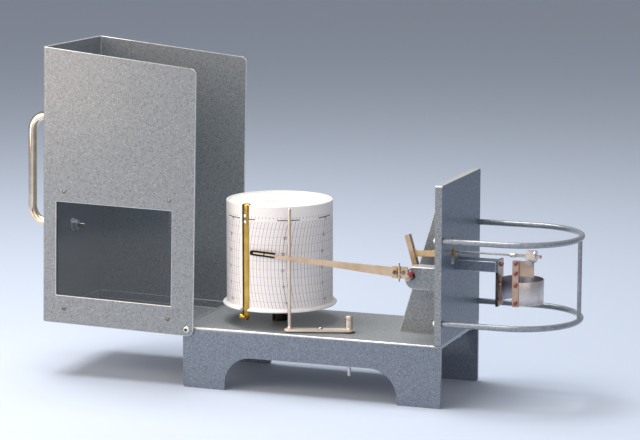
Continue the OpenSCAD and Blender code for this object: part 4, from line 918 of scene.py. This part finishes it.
def makeNib():
    s = nibSet
    long, tip, tail = s["length"], s["tipHalf"], s["tailHalf"]
    gapTip, gapTail = tip - s["rim"], tail - s["rim"]
    slotEnd = arc((s["slotFrom"] + gapTip, 0), gapTip, 270, 90, 8)
    outline = [(long, tail)] + arc((tip, 0), tip, 90, 270, 12) + [(long, -tail), (long, -gapTail)]
    outline += slotEnd + [(long, gapTail)]
    nib = makeCheek("penNib", outline, s["thick"], s["ease"], ink)
    # the felt in the slot, level with the pen's cheeks but for a shallow step
    feltLine = [(long, gapTail)] + slotEnd[::-1] + [(long, -gapTail)]
    felt = makeCheek("penFelt", feltLine, s["felt"], s["feltEase"], core)
    deselectAll()
    bpy.ops.mesh.primitive_cube_add(size=1, location=(s["bridgeAt"] * mm, 0, 0))
    bridge = bpy.context.object
    bridge.scale = Vector(s["bridge"]) * mm
    settle(bridge)
    openEdit(bridge)
    bpy.ops.mesh.bevel(offset=s["bridgeEase"] * mm, segments=2)
    closeEdit()
    bridge.data.materials.append(ink)
    joinPieces([nib, felt, bridge])
    along = (at(*s["tail"]) - at(*s["tip"])).normalized()
    side = Vector((0, 0, 1)).cross(along).normalized()
    axes = Matrix((along, side, along.cross(side))).transposed()
    nib.matrix_world = Matrix.Translation(at(*s["tip"])) @ axes.to_4x4()
    settle(nib)
    smooth(nib, s["shade"])
    dress(nib, ink, "pen", "nib", "pen_nib")


makeNib()
print("pen folded")

# lifter knob, knurled, and the fillet at the rod's foot

knobSet = {
    "place": (144.74, 25.01), "foot": 57.02, "top": 69.0, "body": 3.35, "cap": 3.68, "groove": 2.9,
    "collarTo": 0.7, "bodyFrom": 1.1, "bodyTo": 8.3, "grooveFrom": 8.6, "grooveTo": 9.2, "capFrom": 9.5,
    "capEase": 0.3, "capRound": 0.9, "teeth": 40, "bite": 0.985, "near": 0.1, "shade": 30,
}
rodSet = {
    "place": (95.8, 9.3), "radius": 1.5, "foot": 3.0, "fillet": 1.6, "filletTop": 2.4,
    "steps": 32, "shade": 40,
}


def makeKnob():
    s = knobSet
    centre = at(*s["place"], 0)
    foot, body, cap, groove = s["foot"], s["body"], s["cap"], s["groove"]
    ease, crown = s["capEase"], s["capRound"]
    turned = [(0, 0), (cap, 0), (cap, s["collarTo"]), (body, s["bodyFrom"]), (body, s["bodyTo"]),
              (groove, s["grooveFrom"]), (groove, s["grooveTo"]), (cap - ease, s["capFrom"]),
              (cap, s["capFrom"] + ease)]
    profile = [(radius, foot + up) for radius, up in turned]
    profile += arc((cap - crown, s["top"] - crown), crown, 0, 80, 5) + [(0, s["top"])]
    knob = lathe("lifterKnob", centre, profile, 2 * s["teeth"])
    openEdit(knob)
    step = math.pi / s["teeth"]
    low, high = foot + s["bodyFrom"] - s["near"], foot + s["bodyTo"] + s["near"]
    pick(knob, "VERT", lambda v: low < v.co.z / mm < high and round(
        math.atan2(v.co.y - centre.y, v.co.x - centre.x) / step) % 2 == 1)
    bpy.ops.transform.resize(value=(s["bite"], s["bite"], 1), center_override=centre)
    closeEdit()
    smooth(knob, s["shade"])
    dress(knob, finishOf("lifter_knob"), "lifter", "nickel", "lifter_knob")


def makeRodFoot():
    s = rodSet
    foot = knobSet["foot"]
    profile = [(s["radius"], foot), (s["foot"], foot)]
    profile += arc((s["radius"] + s["fillet"], foot + s["filletTop"]), s["fillet"], 262, 180, 6)
    collar = lathe("rodFoot", at(*s["place"], 0), profile, s["steps"])
    smooth(collar, s["shade"])
    dress(collar, finishOf("lifter_rod"), "lifter", "nickel")


makeKnob()
makeRodFoot()
print("lifter knob turned")

# bimetal ring: one rolled band, open at the front left, bending between its two ends

ringSet = {
    "centre": (290.5, 50.0), "radius": 18.4, "sheet": 0.6, "low": 86.0, "high": 106.3, "fixedTurn": 180.0,
    "freeTurn": -90.0, "steps": 72, "ease": 0.12, "shade": 40,
}


def makeRing():
    s = ringSet
    bend = arc((0, 0), s["radius"], s["fixedTurn"], s["freeTurn"], s["steps"])
    ring = chain("bimetalRing", [at(s["centre"][0] + a, s["centre"][1] + b, s["low"]) for a, b in bend])
    bpy.ops.mesh.select_all(action="SELECT")
    bpy.ops.mesh.extrude_region_move(TRANSFORM_OT_translate={"value": (0, 0, (s["high"] - s["low"]) * mm)})
    closeOutward()
    applyModifier(ring, "SOLIDIFY", {"thickness": s["sheet"] * mm, "offset": 0.0})
    applyModifier(ring, "BEVEL", {"width": s["ease"] * mm, "segments": 2, "limit_method": "ANGLE"})
    smooth(ring, s["shade"])
    ring.data.materials.append(metal["rolledBimetal"])
    ring.data.materials.append(metal["rolledBimetalInnerFace"])
    axis = at(*s["centre"], 0)
    for face in ring.data.polygons:  # the band's inner faces take the darker metal
        inward = axis - face.center
        inward.z = 0
        if face.normal.dot(inward.normalized()) > 0.5:
            face.material_index = 1
    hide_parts("bimetal_ring")
    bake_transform(ring)


makeRing()
print("bimetal ring rolled")

# locking lacquer on the screws of the sensor and the pen's hub

dropSet = {  # node: radius in mm, facing, how far the dab sits aside and up in radii
    "free_end_screws": (1.4, (0, -1, 0), 0.45, 0.4), "sensor_screws": (1.7, (1, 0, 0), 0.1, 0.2),
    "hub_lock_screw": (2.3, (0.35, -0.9, 0.3), 0.0, 0.0), "adjusting_screw": (1.3, (1, 0, 0), 0.0, 0.0),
}
dabSet = {"sunk": 0.1, "spread": (1.0, 1.12, 0.6), "runFrom": 0.2, "run": (0.8, 1.15, 0.8), "shade": 60}


def islands(piece):  # boxes of the loose parts of a mesh
    mesh = bmesh.new()
    mesh.from_mesh(piece.data)
    seen, boxes = set(), []
    for first in mesh.verts:
        if first in seen:
            continue
        seen.add(first)
        reach, group = [first], []
        while reach:
            vert = reach.pop()
            group.append(vert.co.copy())
            for edge in vert.link_edges:
                other = edge.other_vert(vert)
                if other not in seen:
                    seen.add(other)
                    reach.append(other)
        boxes.append([Vector([pickEnd(c[i] for c in group) for i in range(3)]) for pickEnd in (min, max)])
    mesh.free()
    return boxes


def makeDrops():
    s = dabSet
    for node, (radius, facing, shift, lift) in dropSet.items():
        facing = Vector(facing).normalized()
        aside = Vector((0, 0, 1)).cross(facing).normalized()
        axes = Matrix((aside, facing.cross(aside), facing)).transposed()
        for low, high in islands(eased[node]):
            middle = (low + high) / 2
            reach = sum(abs(a * b) for a, b in zip(high - middle, facing))
            offset = (aside * shift + Vector((0, 0, lift))) * radius * mm
            spot = middle + facing * (reach - s["sunk"] * mm) + offset
            deselectAll()
            bpy.ops.mesh.primitive_uv_sphere_add(segments=24, ring_count=14, radius=radius * mm)
            drop = bpy.context.object
            drop.name = "lacquerDrop"
            openEdit(drop)
            bpy.ops.transform.resize(value=s["spread"], center_override=(0, 0, 0))
            pick(drop, "VERT", lambda v: v.co.y < -s["runFrom"] * radius * mm)  # the dab runs down a little
            bpy.ops.transform.resize(value=s["run"], center_override=(0, 0, 0))
            closeEdit()
            drop.matrix_world = Matrix.Translation(spot) @ axes.to_4x4()
            settle(drop)
            smooth(drop, s["shade"])
            dress(drop, lacquer, bodyOf[node], "lacquer")


makeDrops()
print("lacquer dabbed on")

for node, piece in nodes.items():  # solids that stay as they are, with their finish
    if node not in easedSet:
        piece.data.materials.clear()
        piece.data.materials.append(finishOf(node))

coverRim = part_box("cover_shell")[0].x + 20 * mm  # past the inside of the roof
edgeSet = {  # painted sheet: which of its faces carry the painted highlight
    "base_channel": lambda face: face.normal.z > 0.5 and face.normal.y < -0.4,
    "bearing_block": lambda face: face.normal.z > 0.4,
    "end_plate": lambda face: face.normal.z > 0.5,
    "cover_shell": lambda face: face.normal.z > 0.9 or face.normal.x > 0.9 and face.center.x > coverRim,
}
for node, isEdge in edgeSet.items():
    for face in eased[node].data.polygons:
        if isEdge(face):
            face.material_index = 1

secondSet = [  # node, the second finish that some of its faces have, and which faces those are
    ("link_bar", metal["turnedSteel"], lambda face: face.center.x > baseHigh.x),  # plain wire past the plate
    # the end plate's front edge keeps the plain enamel, and its other faces carry the painted shade
    ("end_plate", paint, lambda face: face.normal.y < -0.9),
    ("sensor_plate", metal["nickelSilver"], lambda face: face.normal.x > 0.9),  # a strip on its outer face
    ("base_channel", wipedTopPaintedLight, lambda face: face.normal.z > 0.99),  # the top, wiped to a satin and painted lighter: painted light
    # the arm's painted shade runs on over the hanger's upper end
    ("sensor_plate", deepShadePaint, lambda face: face.normal.x < 0.9 and face.center.z > armLow),
]
for node, finish, isSecond in secondSet:
    mesh = eased[node].data
    mesh.materials.append(finish)
    for face in mesh.polygons:
        if isSecond(face):
            face.material_index = len(mesh.materials) - 1
print("thin edges and second finishes laid on")

bpy.context.scene.view_settings.view_transform = "Standard"
